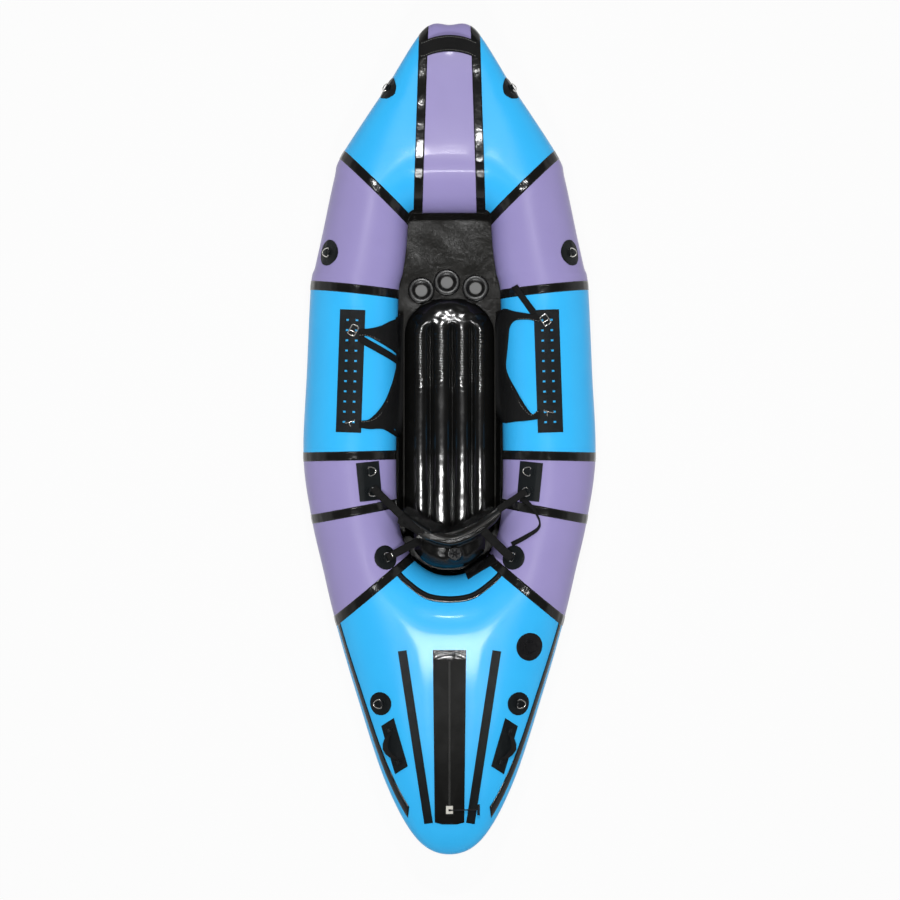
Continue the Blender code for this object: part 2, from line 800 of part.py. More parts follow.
def rect_fitting(side, label):
    """The backrest's patch on the rear tube, with two rings one behind the other."""
    frame = deck_frame(*RECT_PATCH_SHARES, side, RECT_PATCH_HEADING)
    bases = []
    for forward, turn in zip((0.5, -0.5), RECT_RING_TURNS):
        shift = -side * forward * RECT_RING_SPACING
        bases.append(reseat(frame, x=shift, y=RECT_RING_OFFSET, turn=side * turn))
    outline = oblong(RECT_PATCH_LENGTH, RECT_PATCH_WIDTH)
    ring_patch(f"backrest_ring_{label}", bases, RECT_RING_LIFTS, outline, frame,
               RECT_PATCH_LENGTH / 2)


def floor_sheet():
    """The floor under cockpit and tubes, with three drain holes in raised rings."""
    outline = []
    for column in range(HULL.columns):
        lowest = HULL.points[column][ROW_ANGLES.index(270)]
        outline.append((lowest.x, lowest.y))
    half = Vector((HULL_WIDTH / 2, HULL_LENGTH / 2))
    spots = [(x * half.x, y * half.y) for x, y in DRAIN_SPOT_SHARES]
    bm = bmesh.new()
    base = bm.faces.new([bm.verts.new((x, y, 0.0)) for x, y in outline])
    raised = bmesh.ops.extrude_face_region(bm, geom=[base])["geom"]
    tops = [part for part in raised if isinstance(part, bmesh.types.BMVert)]
    bmesh.ops.translate(bm, verts=tops, vec=(0, 0, FLOOR_THICKNESS))
    sheet = place("floor_sheet", mesh_of("floor_sheet", bm), finish=(BLACK, 0.6))
    for number, (x, y) in enumerate(spots):
        centre = Vector((x, y, FLOOR_THICKNESS + DRAIN_RING_HEIGHT / 2 - FIT_GAP))
        frame = Matrix.Translation(centre)
        ring = disc(f"drain_ring_{number}", DRAIN_RING_RADIUS, DRAIN_RING_HEIGHT, frame, 28)
        boolean(sheet, "UNION", ring)
    for number, (x, y) in enumerate(spots):
        frame = Matrix.Translation((x, y, 0))
        hole = disc(f"drain_hole_{number}", DRAIN_HOLE_RADIUS, CUT_OVERRUN * 2, frame, 20)
        boolean(sheet, "DIFFERENCE", hole)


def mat_section(share, half_width, crown):
    """One cross-section of the seat mat: flat below, a row of round chambers above."""
    base = FLOOR_THICKNESS + FIT_GAP
    top = MAT_HEIGHT * crown
    sole, shoulder = MAT_SOLE_SHARE * half_width, base + top * MAT_SHOULDER_SHARE
    ring = [(-sole, base), (-half_width, shoulder)]
    per_chamber = 4
    count = MAT_CHAMBERS * per_chamber
    for step in range(count + 1):
        across = -1 + 2 * step / count
        phase = (step % per_chamber) / per_chamber
        bulge = math.sin(math.pi * phase) ** MAT_BULGE_POWER if phase else 0.0
        edge = MAT_EDGE_SHARE if step in (0, count) else 1 - MAT_GROOVE_SHARE
        height = top * (edge + (1 - edge) * bulge)
        ring.append((across * half_width * MAT_CROWN_SHARE, base + height))
    ring += [(half_width, shoulder), (sole, base)]
    front = MAT_FRONT_SHARE * HULL_LENGTH / 2 - share * MAT_LENGTH
    return [Vector((x, front, z)) for x, z in ring]


def seat_mat():
    """The inflatable floor and seat: lengthwise chambers and a domed nose."""
    rings = []
    nose, heel = MAT_NOSE_LENGTH / MAT_LENGTH, MAT_HEEL_LENGTH / MAT_LENGTH
    half = MAT_WIDTH / 2
    for step in range(6):
        part = 1 - step / 5
        round_off = math.sqrt(max(1 - (part * 0.97) ** 2, 0))
        rings.append(mat_section(nose * (1 - part), half * round_off,
                                 0.35 + 0.65 * round_off))
    for step in range(1, 6):
        rings.append(mat_section(nose + (1 - nose - heel) * step / 5, half, 1.0))
    for part in (0.6, 0.95):
        round_off = math.sqrt(1 - part ** 2)
        rings.append(mat_section(1 - heel * (1 - part), half * (0.8 + 0.2 * round_off),
                                 0.55 + 0.45 * round_off))
    place("seat_mat", loft("seat_mat", rings), finish=(MAT_BLACK, 0.25))


def ladder_rows(side):
    """The ladder's frame and the frame of every band on it, from the bow to the stern."""
    frame = deck_frame(*LADDER_SHARES, side, LADDER_HEADING)
    middle = (LADDER_ROWS - 1) / 2
    rows = [reseat(frame, x=side * (row - middle) * LADDER_PITCH) for row in range(LADDER_ROWS)]
    return frame, rows


def ladder(side, label):
    """The daisy-chain patch: a row of webbing bands with a window at each end of each."""
    name = f"ladder_patch_{label}"
    frame, rows = ladder_rows(side)
    half = WINDOW_SPACING / 2 - WINDOW_WIDTH / 2 - BAND_MARGIN
    top = FIT_GAP + PATCH_THICKNESS + BAND_ROOM
    profile = [
        (-half, 0.0), (-half, top + WEBBING), (half, top + WEBBING), (half, 0.0),
        (half - WEBBING, 0.0), (half - WEBBING, top), (WEBBING - half, top), (WEBBING - half, 0.0),
    ]
    bands = []
    for number, row in enumerate(rows):
        bands.append(prism(f"{name}_band_{number}", profile, BAND_LENGTH, row @ SIDEWAYS))
    length = LADDER_PITCH * LADDER_ROWS + LADDER_END
    cells = cells_near(frame.translation, length / 2)
    outline = oblong(length, LADDER_WIDTH)
    patch = hull_patch(name, cells, outline, frame, PATCH_THICKNESS, (BLACK, 0.6), bands)
    for number, row in enumerate(rows):
        for part, across in enumerate((-0.5, 0.5)):
            spot = shifted(row, y=across * WINDOW_SPACING)
            size = (WINDOW_LENGTH, WINDOW_WIDTH, CUT_OVERRUN)
            boolean(patch, "DIFFERENCE", slab(f"{name}_window_{number}_{part}", size, spot))


def buckle_frames(side):
    """The frames of both buckles' strap bars, X along the line through the two bars."""
    _, rows = ladder_rows(side)
    height = FIT_GAP * 2 + PATCH_THICKNESS + BAND_ROOM + WEBBING + BUCKLE_THICKNESS / 2
    chosen = [rows[number] for number in BUCKLE_ROWS[side]]
    bars = [row @ Vector((0, -BUCKLE_BAR_OFFSET, height)) for row in chosen]
    x_axis = (bars[1] - bars[0]).normalized() * side
    frames = []
    for row, bar in zip(chosen, bars):
        normal = row.col[2].to_3d()
        normal = (normal - x_axis * normal.dot(x_axis)).normalized()
        frames.append(axes_frame(bar, x_axis, normal.cross(x_axis), normal))
    return frames


def buckle(name, frame):
    """A ladder buckle: a plate with a slot for the strap and a tongue under a band."""
    middle = (BUCKLE_WIDTH - BUCKLE_BAR) / 2
    outline = oblong(BUCKLE_LENGTH, BUCKLE_WIDTH)
    plate = prism(name, outline, BUCKLE_THICKNESS, shifted(frame, y=middle), (STEEL, 0.3, 1.0))
    slot_size = (BUCKLE_LENGTH - BUCKLE_BAR * 2, BUCKLE_SLOT, CUT_OVERRUN)
    slot_frame = shifted(frame, y=(BUCKLE_BAR + BUCKLE_SLOT) / 2)
    boolean(plate, "DIFFERENCE", slab(f"{name}_slot", slot_size, slot_frame))
    end, under = BUCKLE_LENGTH / 2, -BUCKLE_THICKNESS / 2
    low = under - FIT_GAP - WEBBING - (BAND_ROOM + TONGUE_THICKNESS) / 2
    hook = [
        (end, 0.0), (end, low), (-TONGUE_LENGTH / 2, low),
        (-TONGUE_LENGTH / 2, low + TONGUE_THICKNESS),
        (end - TONGUE_THICKNESS, low + TONGUE_THICKNESS), (end - TONGUE_THICKNESS, 0.0),
    ]
    stand = shifted(frame, y=BUCKLE_BAR_OFFSET) @ UPRIGHT
    boolean(plate, "UNION", prism(f"{name}_hook", hook, TONGUE_WIDTH, stand))


def fold(frame, target, bore):
    """Webbing folded round a bar along X, from its tucked end to where it leaves for a point."""
    radius = bore + WEBBING / 2
    x_axis, normal = frame.col[0].to_3d(), frame.col[2].to_3d()
    toward = target - frame.translation
    toward = (toward - x_axis * toward.dot(x_axis)).normalized()
    normal = (normal - toward * normal.dot(toward)).normalized()
    points = []
    for step in range(FOLD_STEPS + 1):
        angle = math.radians(FOLD_START - FOLD_TURN * step / FOLD_STEPS)
        spoke = toward * math.cos(angle) + normal * math.sin(angle)
        points.append(frame.translation + spoke * radius)
    return points


def thigh_strap(side, label):
    """The padded strap that hangs inside the cockpit wall between its two buckles."""
    front, rear = buckle_frames(side)
    bore = BUCKLE_BAR / math.sqrt(2) + RUNNING_GAP
    beside = Vector((0, -BUCKLE_WIDTH, 0))
    start, end = (fold(frame, frame @ beside, bore) for frame in (front, rear))
    points, normals, widths, thicknesses = [start[-1]], [front.col[2].to_3d()], [], []
    for share, angle, width_share, thickness_share in THIGH_STRAP_SHARES:
        thickness = THIGH_PAD_THICKNESS * thickness_share
        abreast = front.translation.lerp(rear.translation, share)
        middle = (SEAM_STATIONS[2] + SEAM_STATIONS[3]) / 2
        station = crossing_station(middle, 0, Vector((0, abreast.y)), Vector((1, 0)))
        spot = hull_point(station, angle, side)
        normals.append(HULL.normal(spot))
        points.append(spot + normals[-1] * (thickness / 2 + STRAP_LIFT))
        widths.append(THIGH_PAD_WIDTH * width_share)
        thicknesses.append(thickness)
    points.append(end[-1])
    normals.append(rear.col[2].to_3d())
    widths = smooth_path([SLEEVE_WIDTH, *widths, SLEEVE_WIDTH], STRAP_STEPS)
    thicknesses = smooth_path([WEBBING, *thicknesses, WEBBING], STRAP_STEPS)
    points = smooth_path(points, STRAP_STEPS)
    sides = []
    for index, normal in enumerate(smooth_path(normals, STRAP_STEPS)):
        ahead = points[min(index + 1, len(points) - 1)] - points[max(index - 1, 0)]
        sides.append(normal.cross(ahead).normalized())
    sides[0], sides[-1] = front.col[0].to_3d(), -rear.col[0].to_3d()
    path = start[:-1] + points + end[-2::-1]
    folds = len(start) - 1
    sides = [sides[0]] * folds + sides + [sides[-1]] * folds
    widths = [SLEEVE_WIDTH] * folds + widths + [SLEEVE_WIDTH] * folds
    thicknesses = [WEBBING] * folds + thicknesses + [WEBBING] * folds
    name = f"thigh_strap_{label}"
    place(name, ribbon(name, path, sides, widths, thicknesses), finish=(MAT_BLACK, 0.7))


def cushion_section(share):
    """Half depth, bottom and top of the backrest at a share of its half span."""
    taper = math.sqrt(max(1 - abs(share) ** 6 * BACKREST_TAPER_SHARE, 0))
    bottom = BACKREST_BOTTOM + BACKREST_WING_RISE * share ** 4
    top = BACKREST_TOP - (BACKREST_TOP - bottom) * BACKREST_CORNER_SHARE * abs(share) ** 3
    return BACKREST_THICKNESS / 2 * taper, bottom, top


def backrest_line(share):
    """Plan of the backrest: its middle line, swept forward towards both wings."""
    x = share * BACKREST_SPAN / 2
    y = BACKREST_CENTRE_SHARE * HULL_LENGTH / 2
    y += BACKREST_SWEEP * abs(share) ** BACKREST_SWEEP_POWER
    return Vector((x, y, 0))


def backrest_across(share):
    """The level direction that points out of the front of the backrest."""
    ahead = backrest_line(min(share + 0.05, 1)) - backrest_line(max(share - 0.05, -1))
    return Vector((-ahead.y, ahead.x, 0)).normalized()


def oval_section(origin, across, half_depth, bottom, top, power, lean):
    """A standing section between a rectangle and an ellipse, leaning back by its height."""
    half_height, middle = (top - bottom) / 2, (top + bottom) / 2
    points = []
    for step in range(12):
        angle = math.tau * (step + 0.5) / 12
        x, z = math.cos(angle), math.sin(angle)
        depth = half_depth * math.copysign(abs(x) ** power, x)
        share = math.copysign(abs(z) ** power, z)
        height = middle + half_height * share
        points.append(origin + across * (depth - lean * share) + Vector((0, 0, height)))
    return points


def cushion_back(share, height_share):
    """A point just behind the rear face of the backrest, at a share of its half height."""
    half_depth, bottom, top = cushion_section(share)
    depth = half_depth * math.sqrt(1 - abs(height_share) ** (2 / CUSHION_POWER)) ** CUSHION_POWER
    back = depth + BACKREST_LEAN * height_share + STRAP_CLEARANCE
    height = (top + bottom) / 2 + (top - bottom) / 2 * height_share
    return backrest_line(share) - backrest_across(share) * back + Vector((0, 0, height))


def backrest():
    """The backrest cushion: an upright padded band with its air bladder behind."""
    rings = []
    for step in range(13):
        share = -1 + step / 6
        rings.append(oval_section(
            backrest_line(share), backrest_across(share), *cushion_section(share),
            CUSHION_POWER, BACKREST_LEAN,
        ))
    mesh = loft("backrest_cushion", rings)
    cushion = place("backrest_cushion", mesh, finish=(BLACK, 0.35))
    rings = []
    centre = BACKREST_CENTRE_SHARE * HULL_LENGTH / 2
    middle = (BLADDER_TOP + BACKREST_BOTTOM) / 2
    for step in range(11):
        share = BLADDER_END_SHARE * (step / 5 - 1)
        swell = math.sqrt(1 - share ** 2)
        front = backrest_line(share * BLADDER_SPAN / BACKREST_SPAN).y
        rear = centre - BACKREST_THICKNESS / 4 - BLADDER_DEPTH * swell ** BLADDER_BACK_POWER
        origin = Vector((share * BLADDER_SPAN / 2, (front + rear) / 2, 0))
        half = (BLADDER_TOP - BACKREST_BOTTOM) / 2 * (0.5 + 0.5 * swell)
        rings.append(oval_section(
            origin, Vector((0, 1, 0)), (front - rear) / 2, middle - half, middle + half,
            BLADDER_POWER, 0,
        ))
    boolean(cushion, "UNION", place("backrest_bladder", loft("backrest_bladder", rings)))
    x = BACKREST_VALVE_SHARES[0] * HULL_WIDTH / 2
    y = BACKREST_VALVE_SHARES[1] * HULL_LENGTH / 2
    frame = Matrix.Translation((x, y, BLADDER_TOP - VALVE_HEIGHT / 2))
    valve(cushion, "backrest_valve", frame)


def valve(item, name, frame):
    """Adds a valve body to a piece and makes the star-shaped cap that turns in it."""
    body = disc(f"{name}_body", VALVE_RADIUS, VALVE_HEIGHT * 2, frame, 28)
    boolean(item, "UNION", body)
    floor = VALVE_HEIGHT - CAP_RECESS
    recess_frame = shifted(frame, z=floor + CUT_OVERRUN / 2)
    recess = disc(f"{name}_recess", CAP_RADIUS + RUNNING_GAP, CUT_OVERRUN, recess_frame, 28)
    boolean(item, "DIFFERENCE", recess)
    low = floor + FIT_GAP
    plate_frame = shifted(frame, z=low + CAP_RECESS / 2)
    cap = disc(f"{name}_cap", CAP_RADIUS, CAP_RECESS, plate_frame, 28, (BLACK, 0.45))
    star = []
    for step in range(CAP_LOBES * 4):
        angle = math.tau * step / (CAP_LOBES * 4)
        radius = CAP_RADIUS * (CAP_STAR_SHARE + CAP_LOBE_SHARE * math.cos(CAP_LOBES * angle))
        star.append((radius * math.cos(angle), radius * math.sin(angle)))
    height = CAP_HEIGHT - CAP_RECESS / 2
    star_frame = shifted(frame, z=low + CAP_RECESS / 2 + height / 2)
    boolean(cap, "UNION", prism(f"{name}_star", star, height, star_frame))
    return body


def hull_valve():
    """The main inflation valve on its round patch."""
    frame = deck_frame(*HULL_VALVE_SHARES, 1)
    cells = cells_near(frame.translation, HULL_VALVE_PATCH_RADIUS)
    name = "hull_valve_base"
    outline = circle(HULL_VALVE_PATCH_RADIUS, 24)
    base = hull_patch(name, cells, outline, frame, PATCH_THICKNESS, (BLACK, 0.5))
    foot = place(f"{name}_foot", skin(f"{name}_foot", cells, -CUT_OVERRUN, FIT_GAP * 2))
    frame = shifted(frame, z=FIT_GAP + PATCH_THICKNESS)
    boolean(valve(base, "hull_valve", frame), "DIFFERENCE", foot)


def backrest_strap(side, label):
    """The strap from one ring past the back of the backrest's wing to a second ring."""
    standing = Vector((0, 0, -side))
    frames = []
    for ring in (f"backrest_ring_{label}_2", f"rear_ring_{label}"):
        frames.append(shifted(RING_FRAMES[ring], y=RING_DEPTH - SLEEVE_SETBACK))
    front, rear = frames
    bore = RING_WIRE / 2 + SLEEVE_ROOM
    points = [cushion_back(side * share, height) for share, height in WING_SHARES]
    points.append(points[-1] - backrest_across(side * WING_SHARES[-1][0]) * STRAP_FOLD)
    start, end = fold(front, points[0], bore), fold(rear, points[-1], bore)
    points = [start[-1], *points, points[-1].lerp(end[-1], STRAP_FOLD_SHARE), end[-1]]
    sides = [front.col[0].to_3d()] + [standing] * (len(points) - 2) + [rear.col[0].to_3d()]
    narrow = SLEEVE_WIDTH / 2
    widths = [narrow, *(STRAP_WIDTH * share for share in WING_WIDTH_SHARES), narrow]
    folds = len(start) - 1
    path = start[:-1] + smooth_path(points, STRAP_STEPS) + end[-2::-1]
    sides = [sides[0]] * folds + smooth_path(sides, STRAP_STEPS) + [sides[-1]] * folds
    widths = [narrow] * folds + smooth_path(widths, STRAP_STEPS) + [narrow] * folds
    name = f"backrest_strap_{label}"
    mesh = ribbon(name, path, sides, widths, [WEBBING] * len(path))
    place(name, mesh, finish=(BLACK, 0.6))


def bow_handle():
    """The grab handle: a wide webbing arch sewn across the bow over the seam tapes."""
    name = "bow_handle"
    frame = deck_frame(0.0, BOW_HANDLE_SHARE, 1)
    low = FIT_GAP * 2 + SEAM_TAPE_THICKNESS
    cells = cells_near(frame.translation, BOW_HANDLE_SPAN / 2)
    rings = []
    half = BOW_HANDLE_SPAN / 2
    for step in range(13):
        share = -1 + step / 6
        x = share * half * (1 - BOW_HANDLE_SEWN_SHARE * BOW_HANDLE_FOOT_SHARE)
        y = BOW_HANDLE_SHARE * HULL_LENGTH / 2 + BOW_HANDLE_BULGE * (1 - share ** 2)
        ends = [HULL.hit(Vector((x, y + s * BOW_HANDLE_WIDTH / 2, TUBE_HEIGHT * 2)),
                         Vector((0, 0, -1))) for s in (-1, 1)]
        rise = BOW_HANDLE_RISE * (1 - abs(share) ** BOW_HANDLE_ARCH_POWER)
        lift = Vector((0, 0, rise + low))
        thick = Vector((0, 0, WEBBING * BOW_HANDLE_LAYERS))
        rings.append([ends[0] + lift, ends[1] + lift, ends[1] + lift + thick,
                      ends[0] + lift + thick])
    arch = place(f"{name}_arch", loft(f"{name}_arch", rings))
    handle = hull_patch(name, cells, oblong(BOW_HANDLE_WIDTH, BOW_HANDLE_SPAN),
                        frame, WEBBING, (BLACK, 0.7), low=low)
    gap_size = (BOW_HANDLE_WIDTH + CUT_OVERRUN * 2,
                BOW_HANDLE_SPAN * (1 - BOW_HANDLE_SEWN_SHARE), CUT_OVERRUN)
    boolean(handle, "DIFFERENCE", slab(f"{name}_middle", gap_size, frame))
    bed = place(f"{name}_bed", skin(f"{name}_bed", cells, -CUT_OVERRUN, low + WEBBING / 2))
    boolean(arch, "DIFFERENCE", bed)
    boolean(handle, "UNION", arch)


def deck_strip(side, label):
    """One of the flat welded strips beside the cargo zip."""
    x = (DECK_STRIP_SHARES[0] + DECK_STRIP_SHARES[2]) / 2
    y = (DECK_STRIP_SHARES[1] + DECK_STRIP_SHARES[3]) / 2
    run_x = (DECK_STRIP_SHARES[0] - DECK_STRIP_SHARES[2]) * HULL_WIDTH / 2
    run_y = (DECK_STRIP_SHARES[1] - DECK_STRIP_SHARES[3]) * HULL_LENGTH / 2
    heading = -math.degrees(math.atan2(run_x, run_y))
    frame = deck_frame(x, y, side, heading)
    length = math.hypot(run_x, run_y)
    cells = cells_near(frame.translation, length / 2)
    name = f"deck_strip_{label}"
    level = Matrix.Translation(frame.translation) @ Matrix.Rotation(
        math.atan2(frame.col[0].y, frame.col[0].x), 4, "Z")
    outline = oblong(length, DECK_STRIP_WIDTH)
    hull_patch(name, cells, outline, level, PATCH_THICKNESS, (BLACK, 0.55))


def deck_handle(side, label):
    """A carrying handle of rolled webbing, its two ends held by keepers on a patch."""
    name = f"deck_handle_{label}"
    frame = deck_frame(*DECK_HANDLE_SHARES, side, DECK_HANDLE_HEADING)
    height = FIT_GAP * 3 + PATCH_THICKNESS + DECK_HANDLE_ROD + RUNNING_GAP
    x = (DECK_HANDLE_LENGTH - DECK_HANDLE_KEEPER) / 2
    ends = [reseat(frame, x=place_on) for place_on in (-x, x)]
    bars = [end @ Vector((0, 0, height)) for end in ends]
    x_axis = (bars[1] - bars[0]).normalized()
    normal = frame.col[2].to_3d()
    normal = (normal - x_axis * normal.dot(x_axis)).normalized()
    base = axes_frame((bars[0] + bars[1]) / 2, x_axis, normal.cross(x_axis), normal)
    rises = []
    for number, bar in enumerate(bars):
        stand = axes_frame(bar, *(base.col[index].to_3d() for index in range(3)))
        rises.append(keeper(
            f"{name}_keeper_{number}", stand, height, DECK_HANDLE_ROD + RUNNING_GAP,
            DECK_HANDLE_KEEPER,
        ))
    skew = side * DECK_HANDLE_PATCH_SKEW
    outline = oblong(DECK_HANDLE_PATCH_LENGTH, DECK_HANDLE_PATCH_WIDTH, skew)
    cells = cells_near(frame.translation, DECK_HANDLE_PATCH_LENGTH / 2)
    hull_patch(f"{name}_patch", cells, outline, frame, PATCH_THICKNESS, (BLACK, 0.6), rises)
    origin = base.translation
    outboard = base.col[1].to_3d()
    lying = resting(origin, x_axis, outboard, normal, DECK_HANDLE_REACH, height)
    turned = axes_frame(origin, x_axis, lying, x_axis.cross(lying))
    half = DECK_HANDLE_LENGTH / 2
    shape = [
        Vector((share_x * half, share_y * DECK_HANDLE_REACH, 0))
        for share_x, share_y in DECK_HANDLE_PATH_SHARES
    ]
    path = smooth_path(shape, 2)
    widths = smooth_path([DECK_HANDLE_WIDTH * share for share in DECK_HANDLE_WIDTH_SHARES], 2)
    square = DECK_HANDLE_ROD * math.sqrt(2)
    widths = [max(width, square) for width in widths]
    rings = []
    for index, (point, width) in enumerate(zip(path, widths)):
        ahead = path[min(index + 1, len(path) - 1)] - path[max(index - 1, 0)]
        side_axis = Vector((-ahead.y, ahead.x, 0)).normalized()
        if index in (0, len(path) - 1):
            side_axis = Vector((0, 1, 0))
        rise = Vector((0, 0, square / 2 * min(1.0, square / width * 1.6)))
        reach = side_axis * width / 2
        rings.append([point - reach - rise, point + reach - rise,
                      point + reach + rise, point - reach + rise])
    place(name, loft(name, rings), turned, (BLACK, 0.7))


def chain_places():
    """Places along the zip's chain, from the slider at rest to the front end stop."""
    rear, front = (share * HULL_LENGTH / 2 for share in (SLIDER_SHARE, ZIP_FRONT_SHARE))
    run = front - ZIP_CHAIN_SETBACK - rear
    return [rear + run * step / ZIP_PROBES for step in range(ZIP_PROBES + 1)]


def deck_spot(x, y):
    """The point of the deck under a place in plan."""
    return HULL.hit(Vector((x, y, TUBE_HEIGHT * 2)), Vector((0, 0, -1)))


def zip_arc():
    """Centre and radius of the circle of the zip's chain, just clear of the deck under it."""
    first, middle, last = [deck_spot(0, share * HULL_LENGTH / 2) for share in ZIP_ARC_SHARES]
    run, rise = last.y - first.y, last.z - first.z
    along, over = middle.y - first.y, middle.z - first.z
    double_area = 2 * (run * over - rise * along)
    chord, part = run ** 2 + rise ** 2, along ** 2 + over ** 2
    y = first.y + (over * chord - rise * part) / double_area
    z = first.z + (run * part - along * chord) / double_area
    under = [deck_spot(x, spot) for spot in chain_places() for x in (0, SLIDER_WIDTH / 2)]
    radius = max(math.hypot(spot.y - y, spot.z - z) for spot in under)
    return Vector((0, y, z)), radius


def arc_frame(y, height):
    """A frame on the zip's circle: Z away from its centre, Y towards the bow."""
    centre, radius = zip_arc()
    rise = math.sqrt(radius ** 2 - (y - centre.y) ** 2)
    normal = Vector((0, y - centre.y, rise)).normalized()
    forward = Vector((0, normal.z, -normal.y))
    return axes_frame(centre + normal * (radius + height), Vector((1, 0, 0)), forward, normal)


def cargo_zip():
    """The cargo zip: its welded flap, the raised chain and both end stops."""
    name = "cargo_zip"
    front, rear = (share * HULL_LENGTH / 2 for share in (ZIP_FRONT_SHARE, ZIP_REAR_SHARE))
    middle = (front + rear) / 2
    half, tail = ZIP_WIDTH / 2, ZIP_WIDTH / 2 * ZIP_REAR_WIDTH_SHARE
    outline = [
        (-half, front), (-tail, rear + ZIP_END_BULGE), (-tail / 2, rear), (tail / 2, rear),
        (tail, rear + ZIP_END_BULGE), (half, front),
    ]
    frame = Matrix.Translation((0, 0, TUBE_HEIGHT))
    cells = cells_near(Vector((0, middle, TUBE_HEIGHT)), (front - rear) / 2)
    cells = [cell for cell in cells if cell[1] in range(4, 13)]
    chain_rings = []
    steps = 12
    top = ZIP_THICKNESS + ZIP_CHAIN_RISE
    for step in range(steps + 1):
        y = front - ZIP_CHAIN_SETBACK + (rear - front + ZIP_CHAIN_SETBACK * 2) * step / steps
        ring_frame = arc_frame(y, 0)
        x = ZIP_CHAIN_WIDTH / 2
        corners = ((-x, -CUT_OVERRUN / 2), (x, -CUT_OVERRUN / 2), (x, top), (-x, top))
        chain_rings.append([ring_frame @ Vector((cx, 0, cz)) for cx, cz in corners])
    chain = place(f"{name}_chain", loft(f"{name}_chain", chain_rings))
    rises = [chain]
    for number, y in enumerate((front - ZIP_CHAIN_SETBACK, rear + ZIP_CHAIN_SETBACK)):
        size = (ZIP_STOP_WIDTH, ZIP_STOP_LENGTH, top + ZIP_STOP_RISE + CUT_OVERRUN / 2)
        stop_frame = arc_frame(y, (top + ZIP_STOP_RISE - CUT_OVERRUN / 2) / 2)
        rises.append(slab(f"{name}_stop_{number}", size, stop_frame))
    hull_patch(name, cells, outline, frame, ZIP_THICKNESS, (BLACK, 0.5), rises)


def bail_frame(y):
    """The frame of the bail's bar while the slider stands at a place on the chain."""
    return arc_frame(y, ZIP_THICKNESS + SLIDER_CLEARANCE + SLIDER_HEIGHT + BAIL_HEIGHT)


def zip_slider():
    """The slider that straddles the chain, with the bail that holds its puller."""
    name = "zip_slider"
    y = SLIDER_SHARE * HULL_LENGTH / 2
    base = ZIP_THICKNESS + SLIDER_CLEARANCE
    frame = arc_frame(y, base + SLIDER_HEIGHT / 2)
    size = (SLIDER_WIDTH, SLIDER_LENGTH, SLIDER_HEIGHT)
    slider = slab(name, size, frame, (SLIDER_GREY, 0.5))
    room = ZIP_CHAIN_RISE - SLIDER_CLEARANCE + RUNNING_GAP
    channel = (ZIP_CHAIN_WIDTH + RUNNING_GAP * 2, SLIDER_LENGTH + CUT_OVERRUN, room * 2)
    channel_frame = arc_frame(y, base)
    boolean(slider, "DIFFERENCE", slab(f"{name}_channel", channel, channel_frame))
    centre = bail_frame(y)
    half, bar = BAIL_LENGTH / 2, BAIL_BAR / 2
    foot = -BAIL_HEIGHT - bar
    outline = [
        (-half, foot), (-half, bar), (half, bar), (half, foot), (half - BAIL_BAR, foot),
        (half - BAIL_BAR, -bar), (BAIL_BAR - half, -bar), (BAIL_BAR - half, foot),
    ]
    boolean(slider, "UNION", prism(f"{name}_bail", outline, BAIL_BAR, centre @ SIDEWAYS))


def zip_puller():
    """The cord and T-shaped toggle on the slider's bail, clear of the deck all along it."""
    name = "zip_puller"
    bore = BAIL_BAR / 2 * math.sqrt(2) + RUNNING_GAP
    heights = []
    for y in chain_places():
        frame = bail_frame(y)
        above = frame @ Vector((PULLER_LENGTH, 0, TUBE_HEIGHT / 2))
        heights.append((frame.inverted() @ HULL.hit(above, -frame.col[2].to_3d())).z)
    clear = TOGGLE_DIAMETER / 2 + FIT_GAP + PATCH_THICKNESS + TOGGLE_CLEARANCE
    bail = bail_frame(SLIDER_SHARE * HULL_LENGTH / 2)
    end = bail @ Vector((PULLER_LENGTH, 0, max(heights) + clear))
    x_axis = end - bail.translation
    y_axis = bail.col[1].to_3d()
    x_axis = (x_axis - y_axis * x_axis.dot(y_axis)).normalized()
    frame = axes_frame(bail.translation, x_axis, y_axis, x_axis.cross(y_axis))
    turned_y = Matrix.Rotation(math.radians(90), 4, "X")
    bm = bmesh.new()
    outer = bore + WEBBING
    bmesh.ops.create_cone(bm, cap_ends=True, segments=14, radius1=outer, radius2=outer,
                          depth=EYE_WIDTH, matrix=turned_y)
    puller = place(name, mesh_of(name, bm), frame, (BLACK, 0.6))
    length = PULLER_LENGTH - bore
    cord_frame = shifted(frame, x=bore + length / 2) @ ALONG_X
    boolean(puller, "UNION", disc(f"{name}_cord", PULLER_CORD / 2, length, cord_frame, 10))
    toggle_frame = shifted(frame, x=PULLER_LENGTH) @ turned_y
    toggle = disc(f"{name}_toggle", TOGGLE_DIAMETER / 2, TOGGLE_LENGTH, toggle_frame, 12)
    boolean(puller, "UNION", toggle)
    hole = disc(f"{name}_bore", bore, EYE_WIDTH + CUT_OVERRUN, frame @ turned_y, 12)
    boolean(puller, "DIFFERENCE", hole)


SIDEWAYS = Matrix(((0, 0, 1, 0), (1, 0, 0, 0), (0, 1, 0, 0), (0, 0, 0, 1)))
UPRIGHT = Matrix(((1, 0, 0, 0), (0, 0, -1, 0), (0, 1, 0, 0), (0, 0, 0, 1)))
ALONG_X = Matrix.Rotation(math.radians(90), 4, "Y")

clear_scene()
PARTS = new_collection("packraft")
CUTTERS = new_collection("packraft_cutters")
HULL = Hull()
RING_FRAMES = {}


